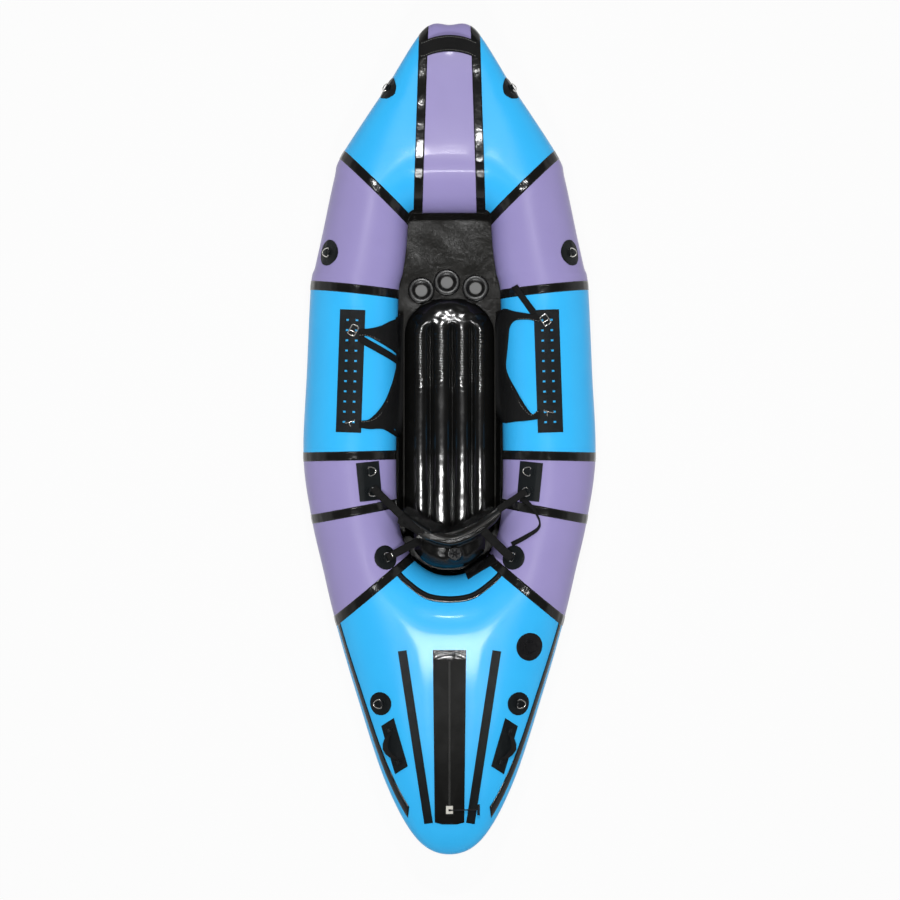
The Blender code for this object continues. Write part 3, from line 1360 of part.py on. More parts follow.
def build():
    """Makes every sub-part."""
    hull_panels()
    seam_tapes()
    floor_sheet()
    seat_mat()
    backrest()
    hull_valve()
    for side, label in ((1, "right"), (-1, "left")):
        round_fittings(side, label)
        rect_fitting(side, label)
        ladder(side, label)
        for frame, end in zip(buckle_frames(side), ("front", "rear")):
            buckle(f"thigh_buckle_{end}_{label}", frame)
        thigh_strap(side, label)
        backrest_strap(side, label)
        deck_strip(side, label)
        deck_handle(side, label)
    bow_handle()
    cargo_zip()
    zip_slider()
    zip_puller()


build()
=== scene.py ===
"""Packraft dresser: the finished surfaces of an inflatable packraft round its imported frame."""

import json
import math
from functools import lru_cache

import bmesh
import bpy
from bpy.props import FloatProperty, FloatVectorProperty, PointerProperty
from mathutils import Matrix, Vector, noise
from mathutils.bvhtree import BVHTree


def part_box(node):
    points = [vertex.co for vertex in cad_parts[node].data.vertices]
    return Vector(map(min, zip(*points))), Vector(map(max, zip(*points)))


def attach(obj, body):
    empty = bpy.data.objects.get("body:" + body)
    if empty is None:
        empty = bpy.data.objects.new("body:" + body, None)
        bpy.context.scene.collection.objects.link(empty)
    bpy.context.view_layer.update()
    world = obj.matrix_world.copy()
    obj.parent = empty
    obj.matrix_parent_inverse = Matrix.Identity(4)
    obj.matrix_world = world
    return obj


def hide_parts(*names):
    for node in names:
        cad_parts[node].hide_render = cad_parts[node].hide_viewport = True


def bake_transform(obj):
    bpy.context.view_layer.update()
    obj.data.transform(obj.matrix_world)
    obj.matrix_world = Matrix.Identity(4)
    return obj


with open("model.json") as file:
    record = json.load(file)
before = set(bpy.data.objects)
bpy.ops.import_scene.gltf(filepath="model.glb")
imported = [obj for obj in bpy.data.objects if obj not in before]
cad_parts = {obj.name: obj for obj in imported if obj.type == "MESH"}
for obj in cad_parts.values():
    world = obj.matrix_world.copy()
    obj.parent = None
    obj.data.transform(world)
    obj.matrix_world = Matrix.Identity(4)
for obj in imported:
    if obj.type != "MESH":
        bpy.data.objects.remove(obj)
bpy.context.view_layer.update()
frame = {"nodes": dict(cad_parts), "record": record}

bl_info = {
    "name": "Packraft Dresser",
    "version": (1, 0, 0),
    "blender": (4, 5, 0),
    "location": "3D View > Sidebar > Packraft",
    "description": "Builds the fabric, tapes, seat, straps and fittings of a packraft",
    "category": "Object",
}

RECORD = frame["record"]
BODY_OF = {node: body for body, nodes in RECORD["behaviour"]["bodies"].items() for node in nodes}
SLOT_OF = {part["node"]: part["material_slot"] for part in RECORD["subparts"]}
SIDES = (("left", -1), ("right", 1))

# Hull
HULL_LENGTH = 2.65
HULL_WIDTH = 0.94
TUBE_HEIGHT = 0.29
BOW_RISE = 0.13
STERN_RISE = 0.08
KEEL_HEIGHT = 0.0036
TAPE_WIDTH = 0.029
# Plan of the tube at each station, as shares of half the width and half the length: cockpit
# edge x and y, outer edge x and y. Then the place of the crest across the tube and how much
# of the bow or stern rise the outer edge takes.
STATION_SHARES = (
    (0.0, 0.553, 0.0, 1.0, 0.30, 1.0),
    (0.215, 0.5525, 0.174, 0.9885, 0.30, 1.0),
    (0.257, 0.551, 0.43, 0.853, 0.40, 0.68),
    (0.282, 0.536, 0.734, 0.692, 0.50, 0.25),
    (0.287, 0.512, 0.789, 0.634, 0.50, 0.12),
    (0.297, 0.463, 0.872, 0.498, 0.50, 0.0),
    (0.319, 0.408, 0.919, 0.423, 0.50, 0.0),
    (0.349, 0.354, 0.949, 0.376, 0.50, 0.0),
    (0.357, 0.166, 0.977, 0.166, 0.50, 0.0),
    (0.366, -0.035, 1.0, -0.040, 0.50, 0.0),
    (0.360, -0.152, 0.943, -0.191, 0.50, 0.0),
    (0.330, -0.226, 0.868, -0.309, 0.49, 0.0),
    (0.257, -0.283, 0.781, -0.438, 0.47, 0.08),
    (0.191, -0.306, 0.642, -0.607, 0.36, 0.35),
    (0.117, -0.321, 0.436, -0.826, 0.26, 0.8),
    (0.053, -0.327, 0.223, -0.962, 0.21, 1.0),
    (0.0, -0.328, 0.0, -1.0, 0.20, 1.0),
)
LAST_STATION = len(STATION_SHARES) - 1
SEAM_STATIONS = (1, 3, 7, 9, 10, 12)
PANEL_FACETS = (1, 3, 3, 2, 1, 2, 6)
INNER_TAPE_ANGLES = (-40.0, 18.0)
FLOOR_TAPE_ANGLES = (285.0, 300.0)
ARC_TAPE_ANGLES = (50.0, 58.0)
EDGE_TAPE_ANGLES = (154.0, 163.0)
PROBE_COLUMN = 0.02
PROBE_ANGLE = 1.0
SEAM_REACH = 0.045
FITTING_REACH = 0.03
FACET_PROBE = 0.012
FACET_GAP = 0.0002
TUBE_GIRTH = 0.92
WELD_RADIUS = 0.00001

# Seat mat
MAT_SEAMS = (-1.0, -0.434, 0.064, 0.5, 1.0)
MAT_BASE = 0.0024
MAT_EDGE_SHARE = 0.42
MAT_GROOVE_SHARE = 0.36
MAT_NOSE = 0.118
MAT_HEEL = 0.035
DOME_LENGTH = 0.092
MAT_SLOPE_START = 0.60
MAT_SLOPE_END = 1.0
MAT_REAR_DROP = 0.021
PLEAT_PITCH = 0.017
PLEAT_END = (0.24, 0.31)
MAT_GRID = (112, 300)

# Straps. Each table holds rows of two opposite edge points in plan (x, y, x, y), from one
# end of the strap to the other.
STRAP_LIFT = 0.0032
STRAP_THICKNESS = 0.0022
WALL_START = 0.172
WALL_TOP = 0.18
WALL_FALL = 2.5
REAR_EDGE = -0.3
REAR_STEP = 0.006
REAR_FALL = 0.004
STRAP_FLOOR = 0.143
LEFT_PAD = (
    (-0.1723, 0.3945, -0.1497, 0.4041), (-0.1707, 0.3236, -0.1497, 0.3236),
    (-0.1723, 0.2528, -0.1497, 0.2528), (-0.1739, 0.2238, -0.1497, 0.2174),
    (-0.1852, 0.1819, -0.1497, 0.1691), (-0.2013, 0.1368, -0.1497, 0.1143),
    (-0.219, 0.1056, -0.153, 0.0531), (-0.2367, 0.084, -0.1658, 0.0113),
    (-0.2592, 0.066, -0.2109, 0.0354), (-0.2818, 0.0628, -0.256, 0.0361),
    (-0.2888, 0.0641, -0.2872, 0.0409),
)
LEFT_WEDGE = (
    (-0.2888, 0.3323, -0.2875, 0.3548), (-0.2608, 0.3317, -0.256, 0.3568),
    (-0.2238, 0.313, -0.2206, 0.3655), (-0.1868, 0.2904, -0.1884, 0.3822),
    (-0.1626, 0.2721, -0.1594, 0.3945),
)
LEFT_BRANCH = (
    (-0.285, 0.3413, -0.2888, 0.3204), (-0.2689, 0.3281, -0.2785, 0.3075),
    (-0.2238, 0.3024, -0.2318, 0.2818), (-0.1852, 0.2798, -0.1932, 0.2602),
    (-0.1594, 0.264, -0.1691, 0.2447),
)
RIGHT_PAD = (
    (0.2869, 0.3767, 0.2875, 0.3993), (0.2721, 0.38, 0.2721, 0.4025),
    (0.2515, 0.3848, 0.2528, 0.4041), (0.2109, 0.3832, 0.2077, 0.4122),
    (0.1932, 0.3623, 0.1723, 0.4218), (0.1893, 0.3301, 0.1497, 0.388),
    (0.1852, 0.2818, 0.1481, 0.2914), (0.1819, 0.2367, 0.1481, 0.227),
    (0.1916, 0.2013, 0.1481, 0.1755), (0.2103, 0.1665, 0.1497, 0.1175),
    (0.2389, 0.1156, 0.1658, 0.0596), (0.264, 0.0837, 0.2141, 0.0602),
    (0.2785, 0.0934, 0.2721, 0.066), (0.2875, 0.0972, 0.2875, 0.0718),
)
RIGHT_WEBBING = (
    (0.199, 0.4891, 0.2167, 0.4975), (0.2254, 0.4508, 0.2431, 0.4595),
    (0.2608, 0.3993, 0.2801, 0.4089),
)
LEFT_ARC = (
    (-0.2077, 0.3365), (-0.1852, 0.3268), (-0.1691, 0.3059), (-0.1568, 0.2753),
)

BACKREST_NET = 0.005
BACKREST_FOLD = 0.0016
BAND_FLOOR = 0.27
BAND_LIFT = 0.0025
BAND_HEIGHT = 0.295
STRAP_BOW = 0.003
# The four straps to the rings, as pairs of edge points with heights
BACKREST_STRAPS = (
    (
        ((-0.204, -0.3621, 0.2915), (-0.192, -0.3849, 0.2915)),
        ((-0.0997, -0.3074, 0.25), (-0.0877, -0.3302, 0.25)),
    ),
    (
        ((-0.2343, -0.1423, 0.295), (-0.2519, -0.1603, 0.295)),
        ((-0.1442, -0.2309, 0.2975), (-0.1618, -0.2489, 0.2975)),
    ),
    (
        ((0.1883, -0.3866, 0.2915), (0.2077, -0.3668, 0.2915)),
        ((0.0982, -0.2981, 0.296), (0.1176, -0.2783, 0.296)),
    ),
    (
        ((0.2494, -0.172, 0.295), (0.2368, -0.1532, 0.295)),
        ((0.1625, -0.23, 0.2975), (0.1499, -0.2112, 0.2975)),
    ),
)
WING_BAND = (
    (-0.1578, -0.2231, -0.1658, -0.2608), (-0.1481, -0.2286, -0.161, -0.2673),
    (-0.1085, -0.2663, -0.124, -0.2866), (-0.0789, -0.2946, -0.0982, -0.3043),
)
TOP_BAND = (
    (-0.0982, -0.2946, -0.1079, -0.3107), (-0.0628, -0.2962, -0.0628, -0.3156),
    (-0.0113, -0.2946, -0.008, -0.3172), (0.0435, -0.2801, 0.0531, -0.3027),
    (0.1079, -0.2463, 0.1208, -0.2656), (0.153, -0.2141, 0.1642, -0.2318),
)
RIGHT_LOOP = (
    (0.227, -0.1787, 0.2238, -0.1948), (0.2496, -0.19, 0.2431, -0.2029),
    (0.2705, -0.2141, 0.2624, -0.219), (0.2898, -0.256, 0.2834, -0.256),
    (0.285, -0.285, 0.2785, -0.2769), (0.2463, -0.314, 0.2415, -0.3011),
    (0.2013, -0.3381, 0.1964, -0.3252),
)
TAIL_WEBBING = (
    (0.1401, -0.3655, 0.1546, -0.3896), (0.0982, -0.3896, 0.1111, -0.4138),
    (0.0483, -0.4202, 0.0596, -0.446),
)

# Cargo zip and floor drains
CHAIN_START = -0.703
CHAIN_END = -1.162
TOOTH_PITCH = 0.0034
TOOTH = (0.0090, 0.0021, 0.0012)
TOOTH_SINK = 0.0002
HEM_MARGIN = 0.001
HEM_LENGTH = 0.036
HEM_RISE = 0.030
HEM_FOLD = 0.0014
HEM_WAVE = 0.0019
HEM_THICKNESS = 0.0004
DRAIN_PROFILE = (
    (0.0222, 0.0030), (0.0222, 0.0060), (0.0235, 0.0070), (0.0400, 0.0068), (0.0428, 0.0060),
    (0.0436, 0.0030),
)
FLOOR_SPACING = 0.012
FLOOR_TOP = 0.0015
FLOOR_FOLD = 0.0022
DRAIN_CLEARING = (0.046, 0.075)
CREASED_FRONT = (0.52, 0.72)
WALL_FOOT = (0.150, 0.012)
WALL_HEAD = (0.1655, 0.128)
WALL_STATIONS = (-0.27, -0.1, 0.1, 0.25, 0.42)
WALL_FOLD = 0.0055
WALL_THICKNESS = 0.0006

# Small parts
WIRE_RADIUS = 0.0013
BUCKLE_TURNS = {"front_left": -28.0, "front_right": 35.0, "rear_left": 15.0, "rear_right": -12.0}
FRAME_REACH = (0.0115, 0.0165)
FRAME_CORNER = 0.003
FRAME_HEIGHT = 0.0008
# The bar and the hook of a buckle, about its middle
BUCKLE_WIRES = {
    "front": (
        ((-0.0115, -0.003, 0.0), (0.0115, -0.003, 0.0)),
        ((-0.002, 0.0165, 0.0008), (-0.002, 0.0185, 0.0), (-0.002, 0.0190, -0.0028)),
    ),
    "rear": (
        ((-0.016, 0.004, -0.001), (-0.014, 0.0, 0.0008), (0.014, 0.0, 0.0008),
         (0.016, 0.004, -0.001)),
        ((-0.004, 0.0, 0.0008), (-0.003, -0.010, 0.0), (-0.001, -0.013, -0.002)),
    ),
}
STITCH_INSET = 0.12
HANDLE_REACH = 0.092
HANDLE_REAR = 1.215
HANDLE_TOP = 0.32
HANDLE_INSETS = (0.10, 0.90)
STAR_LOBES = 6
STAR_REACH = 0.0085
STAR_LOBE = (0.0140, 0.0060, 0.0076)

# Stage
GROUND_SIZE = 40.0
GROUND_HEIGHT = -0.001
GROUND_GLOW = 0.95
# Painted shade under the boat: the tone of the ground there, and half the sides of that darkened,
# unlit rectangle
PAINTED_SHADE_TONE = 0.42
PAINTED_SHADE_REACH = (0.3, 0.6)
# Name, place, size and power of each lamp
LAMPS = (
    ("front_lamp", (0.0, 1.18, 4.1), (0.30, 0.16), 68.0),
    ("rear_lamp", (0.0, -0.84, 4.1), (0.45, 0.16), 66.0),
)
# The sky's strength falls from the horizon to the zenith
SKY = {"From Min": 0.25, "From Max": 0.65, "To Min": 1.0, "To Max": 0.05}
CAMERA_HEIGHT = 14.0
PHOTO_SPAN = 2.898
SENSOR_WIDTH = 36.0
PHOTO_CENTRE = (0.0016, -0.0306)
WAIST_HEIGHT = 0.145


class PackraftColours(bpy.types.PropertyGroup):
    """Colours of the fabrics, webbing, plastic and metal."""

    def colour(name, default):
        return FloatVectorProperty(name=name, description=f"Colour of the {name.lower()}",
                                   subtype="COLOR", size=3, min=0.0, max=1.0, default=default)

    blue: colour("Blue hull fabric", (0.040, 0.50, 1.0))
    purple: colour("Purple hull fabric", (0.33, 0.285, 0.56))
    tape: colour("Seam tape", (0.0075, 0.0075, 0.007))
    floor: colour("Floor fabric", (0.0115, 0.0108, 0.0090))
    vinyl: colour("Seat vinyl", (0.0050, 0.0050, 0.0047))
    patch: colour("Patch fabric", (0.007, 0.009, 0.010))
    webbing: colour("Webbing", (0.0085, 0.0085, 0.0085))
    plastic: colour("Valve plastic", (0.010, 0.010, 0.011))
    steel: colour("Steel", (0.62, 0.61, 0.58))
    cream: colour("Slider plastic", (0.62, 0.60, 0.54))
    thread: colour("Thread", (0.50, 0.50, 0.48))
    ground: colour("Ground", (0.60, 0.60, 0.59))
    coil: colour("Zip coil", (0.040, 0.040, 0.038))
    rubber: colour("Drain rubber", (0.006, 0.006, 0.006))


class PackraftSizes(bpy.types.PropertyGroup):
    """Sizes of the details that the frame leaves to the surfaces."""

    def length(name, description, default):
        return FloatProperty(name=name, description=description, default=default, min=0.0,
                             precision=4, subtype="DISTANCE", unit="LENGTH")

    spacing: length("Skin spacing", "Side of one cell of the hull's skin", 0.008)
    tape_spacing: length("Tape spacing", "Side of one cell of a seam tape", 0.006)
    tape_lift: length("Tape lift", "Height of a tape's underside over the skin", 0.0002)
    tape: length("Tape thickness", "Thickness of a seam tape", 0.0009)
    pucker: length("Seam puckers", "Height of the puckers beside the seams", 0.0012)
    fabric: length("Fabric", "Thickness of the hull's skin", 0.0012)
    mat_wrinkle: length("Mat wrinkles", "Height of the pleats across the mat's ribs", 0.0026)
    stitch: length("Stitch length", "Length of one stitch", 0.0045)
    stitch_gap: length("Stitch gap", "Gap between two stitches", 0.0035)
    thread: length("Thread", "Thickness of the sewing thread", 0.0012)


def look():
    return bpy.context.scene.packraft_colours


def sizes():
    return bpy.context.scene.packraft_sizes


def catmull(before, start, end, after, share):
    """The point at a share of the way from start to end on a smooth curve through all four."""
    square = share * share
    cube = square * share
    return (
        2 * start
        + (end - before) * share
        + (2 * before - 5 * start + 4 * end - after) * square
        + (3 * start - before - 3 * end + after) * cube
    ) / 2


def smooth(low, high, value):
    """0 below low, 1 above high, and an even passage between them."""
    share = min(max((value - low) / (high - low), 0.0), 1.0)
    return share * share * (3 - 2 * share)


def ripple(x, y, z):
    """Smooth noise at a place, between -1 and 1."""
    return noise.noise(Vector((x, y, z)))


def station_values(index):
    """One row of the station table, mirrored across the centre line past either end."""
    mirror = 1
    if index < 0:
        index = -index
        mirror = -1
    if index > LAST_STATION:
        index = 2 * LAST_STATION - index
        mirror = -1
    row = STATION_SHARES[index]
    return (mirror * row[0], row[1], mirror * row[2], *row[3:])


def station_row(station):
    """The station table read between its rows, on a smooth curve."""
    index = min(max(int(math.floor(station)), 0), LAST_STATION - 1)
    rows = [station_values(index + step) for step in (-1, 0, 1, 2)]
    return [catmull(*values, station - index) for values in zip(*rows)]


def plan_point(station, column):
    """The cockpit edge (column 0) or outer edge (column 2) of the hull in plan."""
    row = station_row(station)
    return Vector((row[column] * HULL_WIDTH / 2, row[column + 1] * HULL_LENGTH / 2))


def crossing_station(start, column, origin, direction):
    """The station near start whose cockpit or outer edge lies on a line of the plan."""
    across = Vector((-direction.y, direction.x))

    def distance(station):
        return (plan_point(station, column) - origin).dot(across)

    low, high = start - 1.0, start + 1.0
    for _ in range(40):
        middle = (low + high) / 2
        if distance(middle) * distance(low) > 0:
            low = middle
        else:
            high = middle
    return (low + high) / 2


def seam_stations(station):
    """Cockpit and outer stations of a seam and of both edges of the tape on it."""
    inner = plan_point(station, 0)
    direction = (plan_point(station, 2) - inner).normalized()
    across = Vector((-direction.y, direction.x))
    result = []
    for side in (1, 0, -1):
        origin = inner + across * (side * TAPE_WIDTH / 2)
        pair = [crossing_station(station, column, origin, direction) for column in (0, 2)]
        result.append(pair)
    return result


def half_columns():
    """Station pairs of all columns of the right half, and the index of each seam's middle."""
    edges = [[[0.0, 0.0]]]
    edges += [seam_stations(station) for station in SEAM_STATIONS]
    edges.append([[float(LAST_STATION)] * 2])
    columns, seams = [], []
    for edge, following, facets in zip(edges, edges[1:], PANEL_FACETS):
        columns += edge
        seams.append(len(columns) - 2)
        for step in range(1, facets):
            share = step / facets
            columns.append([a + (b - a) * share for a, b in zip(edge[-1], following[0])])
    columns += edges[-1]
    return columns, seams[1:]


COLUMNS, SEAMS = half_columns()
STERN = len(COLUMNS) - 1


@lru_cache(maxsize=None)
def tube_slice(column):
    """Cockpit and outer plan points, crest place, rise and side of the hull at a column.

    Columns count from the bow's centre line, negative to the left and past the stern's
    centre line back along the left side.
    """
    side = 1
    if column < 0:
        column = -column
        side = -1
    if column > STERN:
        column = 2 * STERN - column
        side = -side
    index = min(int(column), STERN - 1)
    pair = [a + (b - a) * (column - index)
            for a, b in zip(COLUMNS[index], COLUMNS[index + 1])]
    inner, outer = plan_point(pair[0], 0), plan_point(pair[1], 2)
    *_, crest, rise = station_row(pair[1])
    lift = rise * (BOW_RISE if outer.y > 0 else STERN_RISE)
    return inner, outer, crest, lift, side, column


def tube_point(column, angle):
    """The smooth tube, at an angle from the cockpit edge (0) over the crest (90)."""
    inner, outer, crest, lift, side, _ = tube_slice(round(column, 6))
    turn = math.cos(math.radians(angle))
    reach = crest - (crest if turn >= 0 else 1 - crest) * turn
    plan = inner + (outer - inner) * reach
    height = TUBE_HEIGHT / 2 * (1 + math.sin(math.radians(angle)))
    return Vector((side * plan.x, plan.y, KEEL_HEIGHT + lift * min(turn, 0) ** 2 + height))


def tube_normal(column, angle):
    along = tube_point(column + PROBE_COLUMN, angle) - tube_point(column - PROBE_COLUMN, angle)
    around = tube_point(column, angle + PROBE_ANGLE) - tube_point(column, angle - PROBE_ANGLE)
    return along.cross(around).normalized()


@lru_cache(maxsize=None)
def seam_distance(column):
    """Distance in plan from a column to the nearest seam, and that seam's number."""
    inner, outer, *_, half_column = tube_slice(round(column, 6))
    middle = (inner + outer) / 2
    found = []
    for number, seam in enumerate(SEAMS):
        start, end, *_ = tube_slice(float(seam))
        found.append((((start + end) / 2 - middle).length, number))
    return min(found)


def joined_tree(nodes):
    """One search tree over the meshes of several nodes of the frame."""
    bm = bmesh.new()
    for node in nodes:
        bm.from_mesh(frame["nodes"][node].data)
    tree = BVHTree.FromBMesh(bm)
    bm.free()
    return tree


PANEL_NODES = sorted(
    node for node in BODY_OF if node.endswith(("panel", "panel_left", "panel_right"))
)
FITTING_NODES = sorted(
    node for node in BODY_OF
    if node.endswith("_patch") or node.startswith(("ladder_patch", "deck_strip"))
    or node in ("cargo_zip", "hull_valve_base")
)
FACETS = joined_tree(PANEL_NODES)
FITTINGS = joined_tree(FITTING_NODES)
DECK = joined_tree(PANEL_NODES + FITTING_NODES)


def skin_point(column, angle, lift=0.0):
    """A point of the finished skin: puckered at its seams and flat under its fittings."""
    point, normal = tube_point(column, angle), tube_normal(column, angle)
    distance, seam = seam_distance(round(column, 6))
    if distance < SEAM_REACH:
        side = 1 if point.x > 0 else -1
        fade = (1 - distance / SEAM_REACH) ** 2
        wave = ripple(angle * 0.13, seam * 7.3, side * 3.1)
        point = point + normal * sizes().pucker * fade * wave * 2
    hit = FITTINGS.find_nearest(point, FITTING_REACH)
    if hit[0] is not None:
        facet = FACETS.ray_cast(point + normal * FACET_PROBE, -normal, FACET_PROBE * 2)
        if facet[0] is not None:
            share = smooth(FITTING_REACH * 0.2, FITTING_REACH, hit[3])
            point = (facet[0] - normal * FACET_GAP).lerp(point, share)
    return point + normal * lift


def run_length(first, last):
    """Length in plan of the middle of the tube between two columns."""
    spots = [tube_slice(round(first + (last - first) * step / 12, 6)) for step in range(13)]
    middles = [Vector(((a.x + b.x) / 2 * side, (a.y + b.y) / 2)) for a, b, *_, side, _ in spots]
    return sum((b - a).length for a, b in zip(middles, middles[1:]))


def lay_grid(bm, first, last, low, high, spacing, lift=0.0):
    """Adds a grid to a bmesh and lays it on the skin between two columns and two angles."""
    along = max(3, round(run_length(first, last) * 1.1 / spacing))
    around = max(2, round(TUBE_GIRTH * abs(high - low) / 360 / spacing))
    made = bmesh.ops.create_grid(bm, x_segments=along, y_segments=around, size=1.0)
    for vertex in made["verts"]:
        column = first + (last - first) * (vertex.co.x + 1) / 2
        angle = low + (high - low) * (vertex.co.y + 1) / 2
        vertex.co = skin_point(column, angle, lift)


def drop(tree, x, y):
    """Height of the highest surface of a tree at a place in plan, or None beside it."""
    hit = tree.ray_cast(Vector((x, y, 1.0)), Vector((0, 0, -1)))
    return None if hit[0] is None else hit[0].z


def strap_height(x, y):
    """Underside of a strap that lies on the tube and hangs down its inner wall."""
    if y < REAR_EDGE:
        found = [drop(DECK, x, y - step * REAR_STEP) for step in range(14)]
        fall = [top - step * REAR_FALL for step, top in enumerate(found) if top is not None]
        return fall[0] + STRAP_LIFT if fall else STRAP_FLOOR
    reach = max(abs(x), WALL_START)
    top = drop(DECK, math.copysign(reach, x), y)
    return max((top or WALL_TOP) + STRAP_LIFT - (reach - abs(x)) * WALL_FALL, STRAP_FLOOR)


def lay_strip(bm, edges, height=None, steps=40, across=6):
    """Adds a strip between pairs of edge points, dropped to a height function if given."""
    made = bmesh.ops.create_grid(bm, x_segments=steps, y_segments=across, size=1.0)
    last = len(edges) - 1
    for vertex in made["verts"]:
        place = (vertex.co.x + 1) / 2 * last
        index = min(int(place), last - 1)
        rows = [edges[min(max(index + step, 0), last)] for step in (-1, 0, 1, 2)]
        ends = [catmull(*(Vector(row[side]) for row in rows), place - index) for side in (0, 1)]
        spot = ends[0].lerp(ends[1], (vertex.co.y + 1) / 2)
        vertex.co = (spot.x, spot.y, height(spot.x, spot.y) if height else spot.z)
    faces = list({face for vertex in made["verts"] for face in vertex.link_faces})
    for face in faces:
        face.normal_update()
    if sum(face.normal.z for face in faces) < 0:
        bmesh.ops.reverse_faces(bm, faces=faces)


def even_line(points, spacing):
    """Evenly spaced points on a smooth curve through the points given."""
    last = len(points) - 1
    rough = []
    for index in range(last):
        rows = [Vector(points[min(max(index + step, 0), last)]) for step in (-1, 0, 1, 2)]
        rough += [catmull(*rows, part / 16) for part in range(16)]
    rough.append(Vector(points[-1]))
    line, gone = [rough[0]], 0.0
    for start, end in zip(rough, rough[1:]):
        span = (end - start).length
        while span and spacing * len(line) <= gone + span:
            line.append(start.lerp(end, (spacing * len(line) - gone) / span))
        gone += span
    return line


def add_ball(bm, place, size, subdivisions):
    """Adds a ball, stretched to a size along the axes of a place."""
    matrix = place @ Matrix.Diagonal((*size, 1))
    bmesh.ops.create_icosphere(bm, subdivisions=subdivisions, radius=0.5, matrix=matrix)


def sew(bm, points, height):
    """Adds a row of stitches along a line in plan, on the surface of a height function."""
    thread, length = sizes().thread, sizes().stitch
    line = even_line(points, length + sizes().stitch_gap)
    spots = [Vector((x, y, height(x, y) + thread * 0.3)) for x, y, *_ in line]
    for start, end in zip(spots, spots[1:]):
        turn = (end - start).to_track_quat("X", "Z").to_matrix().to_4x4()
        place = Matrix.Translation((start + end) / 2) @ turn
        add_ball(bm, place, (length, thread, thread * 0.7), 1)


def edge_line(rows, share):
    """The line at a share of the way across a strip of the tables."""
    return [Vector(row[:2]).lerp(Vector(row[2:]), share) for row in rows]


def strap_piece(name, strips, body, replaced=(), height=strap_height, material="webbing"):
    """One piece of webbing made of strips that lie on the tube."""
    bm = bmesh.new()
    for rows in strips:
        lay_strip(bm, [(row[:2], row[2:]) for row in rows], height)
    thicken(finish_piece(name, bm, material, body, "webbing", replaced), STRAP_THICKNESS, 1.0)


def stitch_piece(name, lines, body, slot, height):
    """One piece made of rows of stitches."""
    bm = bmesh.new()
    for points in lines:
        sew(bm, points, height)
    finish_piece(name, bm, "sewing_thread", body, slot)


def show(name, data):
    """A new object in the scene."""
    item = bpy.data.objects.new(name, data)
    bpy.context.scene.collection.objects.link(item)
    return item


def evaluated_mesh(item):
    """The mesh that an object's curve or modifiers make, in place of the object."""
    depsgraph = bpy.context.evaluated_depsgraph_get()
    mesh = bpy.data.meshes.new_from_object(item.evaluated_get(depsgraph))
    bpy.data.objects.remove(item)
    return mesh


def wire_mesh(name, runs):
    """A mesh of round wire along runs of points, each closed or open."""
    curve = bpy.data.curves.new(name, "CURVE")
    curve.dimensions = "3D"
    curve.bevel_depth = WIRE_RADIUS
    curve.bevel_resolution = 3
    curve.use_fill_caps = True
    for points, closed in runs:
        spline = curve.splines.new("POLY")
        spline.points.add(len(points) - 1)
        for place, point in zip(spline.points, points):
            place.co = (*point, 1.0)
        spline.use_cyclic_u = closed
    mesh = evaluated_mesh(show(name, curve))
    for polygon in mesh.polygons:
        polygon.use_smooth = True
    return mesh


def new_mesh(name, bm):
    """Closes a bmesh into a mesh with its doubles merged and its faces smooth."""
    bmesh.ops.remove_doubles(bm, verts=bm.verts, dist=WELD_RADIUS)
    mesh = bpy.data.meshes.new(name)
    for face in bm.faces:
        face.smooth = True
    bm.to_mesh(mesh)
    bm.free()
    return mesh


def finish_piece(name, shape, material, body, slot, nodes=()):
    """Puts a mesh or a bmesh in the scene as a piece that rides on a body, if one is given."""
    mesh = new_mesh(name, shape) if isinstance(shape, bmesh.types.BMesh) else shape
    mesh.materials.clear()
    mesh.materials.append(material_for(material))
    piece = show(name, mesh)
    if body:
        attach(piece, body)
    if nodes:
        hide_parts(*nodes)
    return piece


def node_piece(name, shape, material, node, replaced=True):
    """A piece that rides on the body of a node, in place of it unless told otherwise."""
    nodes = [node] if replaced else []
    return finish_piece(name, shape, material, BODY_OF[node], SLOT_OF[node], nodes)


def thicken(piece, thickness, offset):
    modifier = piece.modifiers.new("fabric", "SOLIDIFY")
    modifier.thickness = thickness
    modifier.offset = offset


def subdivide(piece, levels):
    modifier = piece.modifiers.new("rounding", "SUBSURF")
    modifier.levels = modifier.render_levels = levels


def node_copy(node, angle=35.0, flat=1.0):
    """A bmesh of one node with its triangles welded into faces again."""
    bm = bmesh.new()
    bm.from_mesh(frame["nodes"][node].data)
    bmesh.ops.remove_doubles(bm, verts=bm.verts, dist=0.00002)
    if flat:
        bmesh.ops.dissolve_limit(bm, angle_limit=math.radians(flat), verts=bm.verts, edges=bm.edges)
    for edge in bm.edges:
        edge.smooth = edge.calc_face_angle(0.0) < math.radians(angle)
    return bm


def dress_node(node, material, angle=35.0, levels=0, bevel=0.0, flat=1.0):
    """A welded, smoothly shaded piece in place of a node, with rounded edges if asked."""
    piece = node_piece(f"{node}_finish", node_copy(node, angle, flat), material, node)
    if bevel:
        modifier = piece.modifiers.new("edges", "BEVEL")
        modifier.width = bevel
        modifier.segments = 2
        modifier.limit_method = "ANGLE"
        modifier.angle_limit = math.radians(angle)
    if levels:
        subdivide(piece, levels)


def shader_group(name, inputs, outputs):
    """An empty shader node group with float inputs and the outputs named."""
    group = bpy.data.node_groups.new(name, "ShaderNodeTree")
    for label, default in inputs:
        socket = group.interface.new_socket(label, in_out="INPUT", socket_type="NodeSocketFloat")
        socket.default_value = default
    for label in outputs:
        group.interface.new_socket(label, in_out="OUTPUT", socket_type="NodeSocketFloat")
    return group, group.nodes.new("NodeGroupInput"), group.nodes.new("NodeGroupOutput")


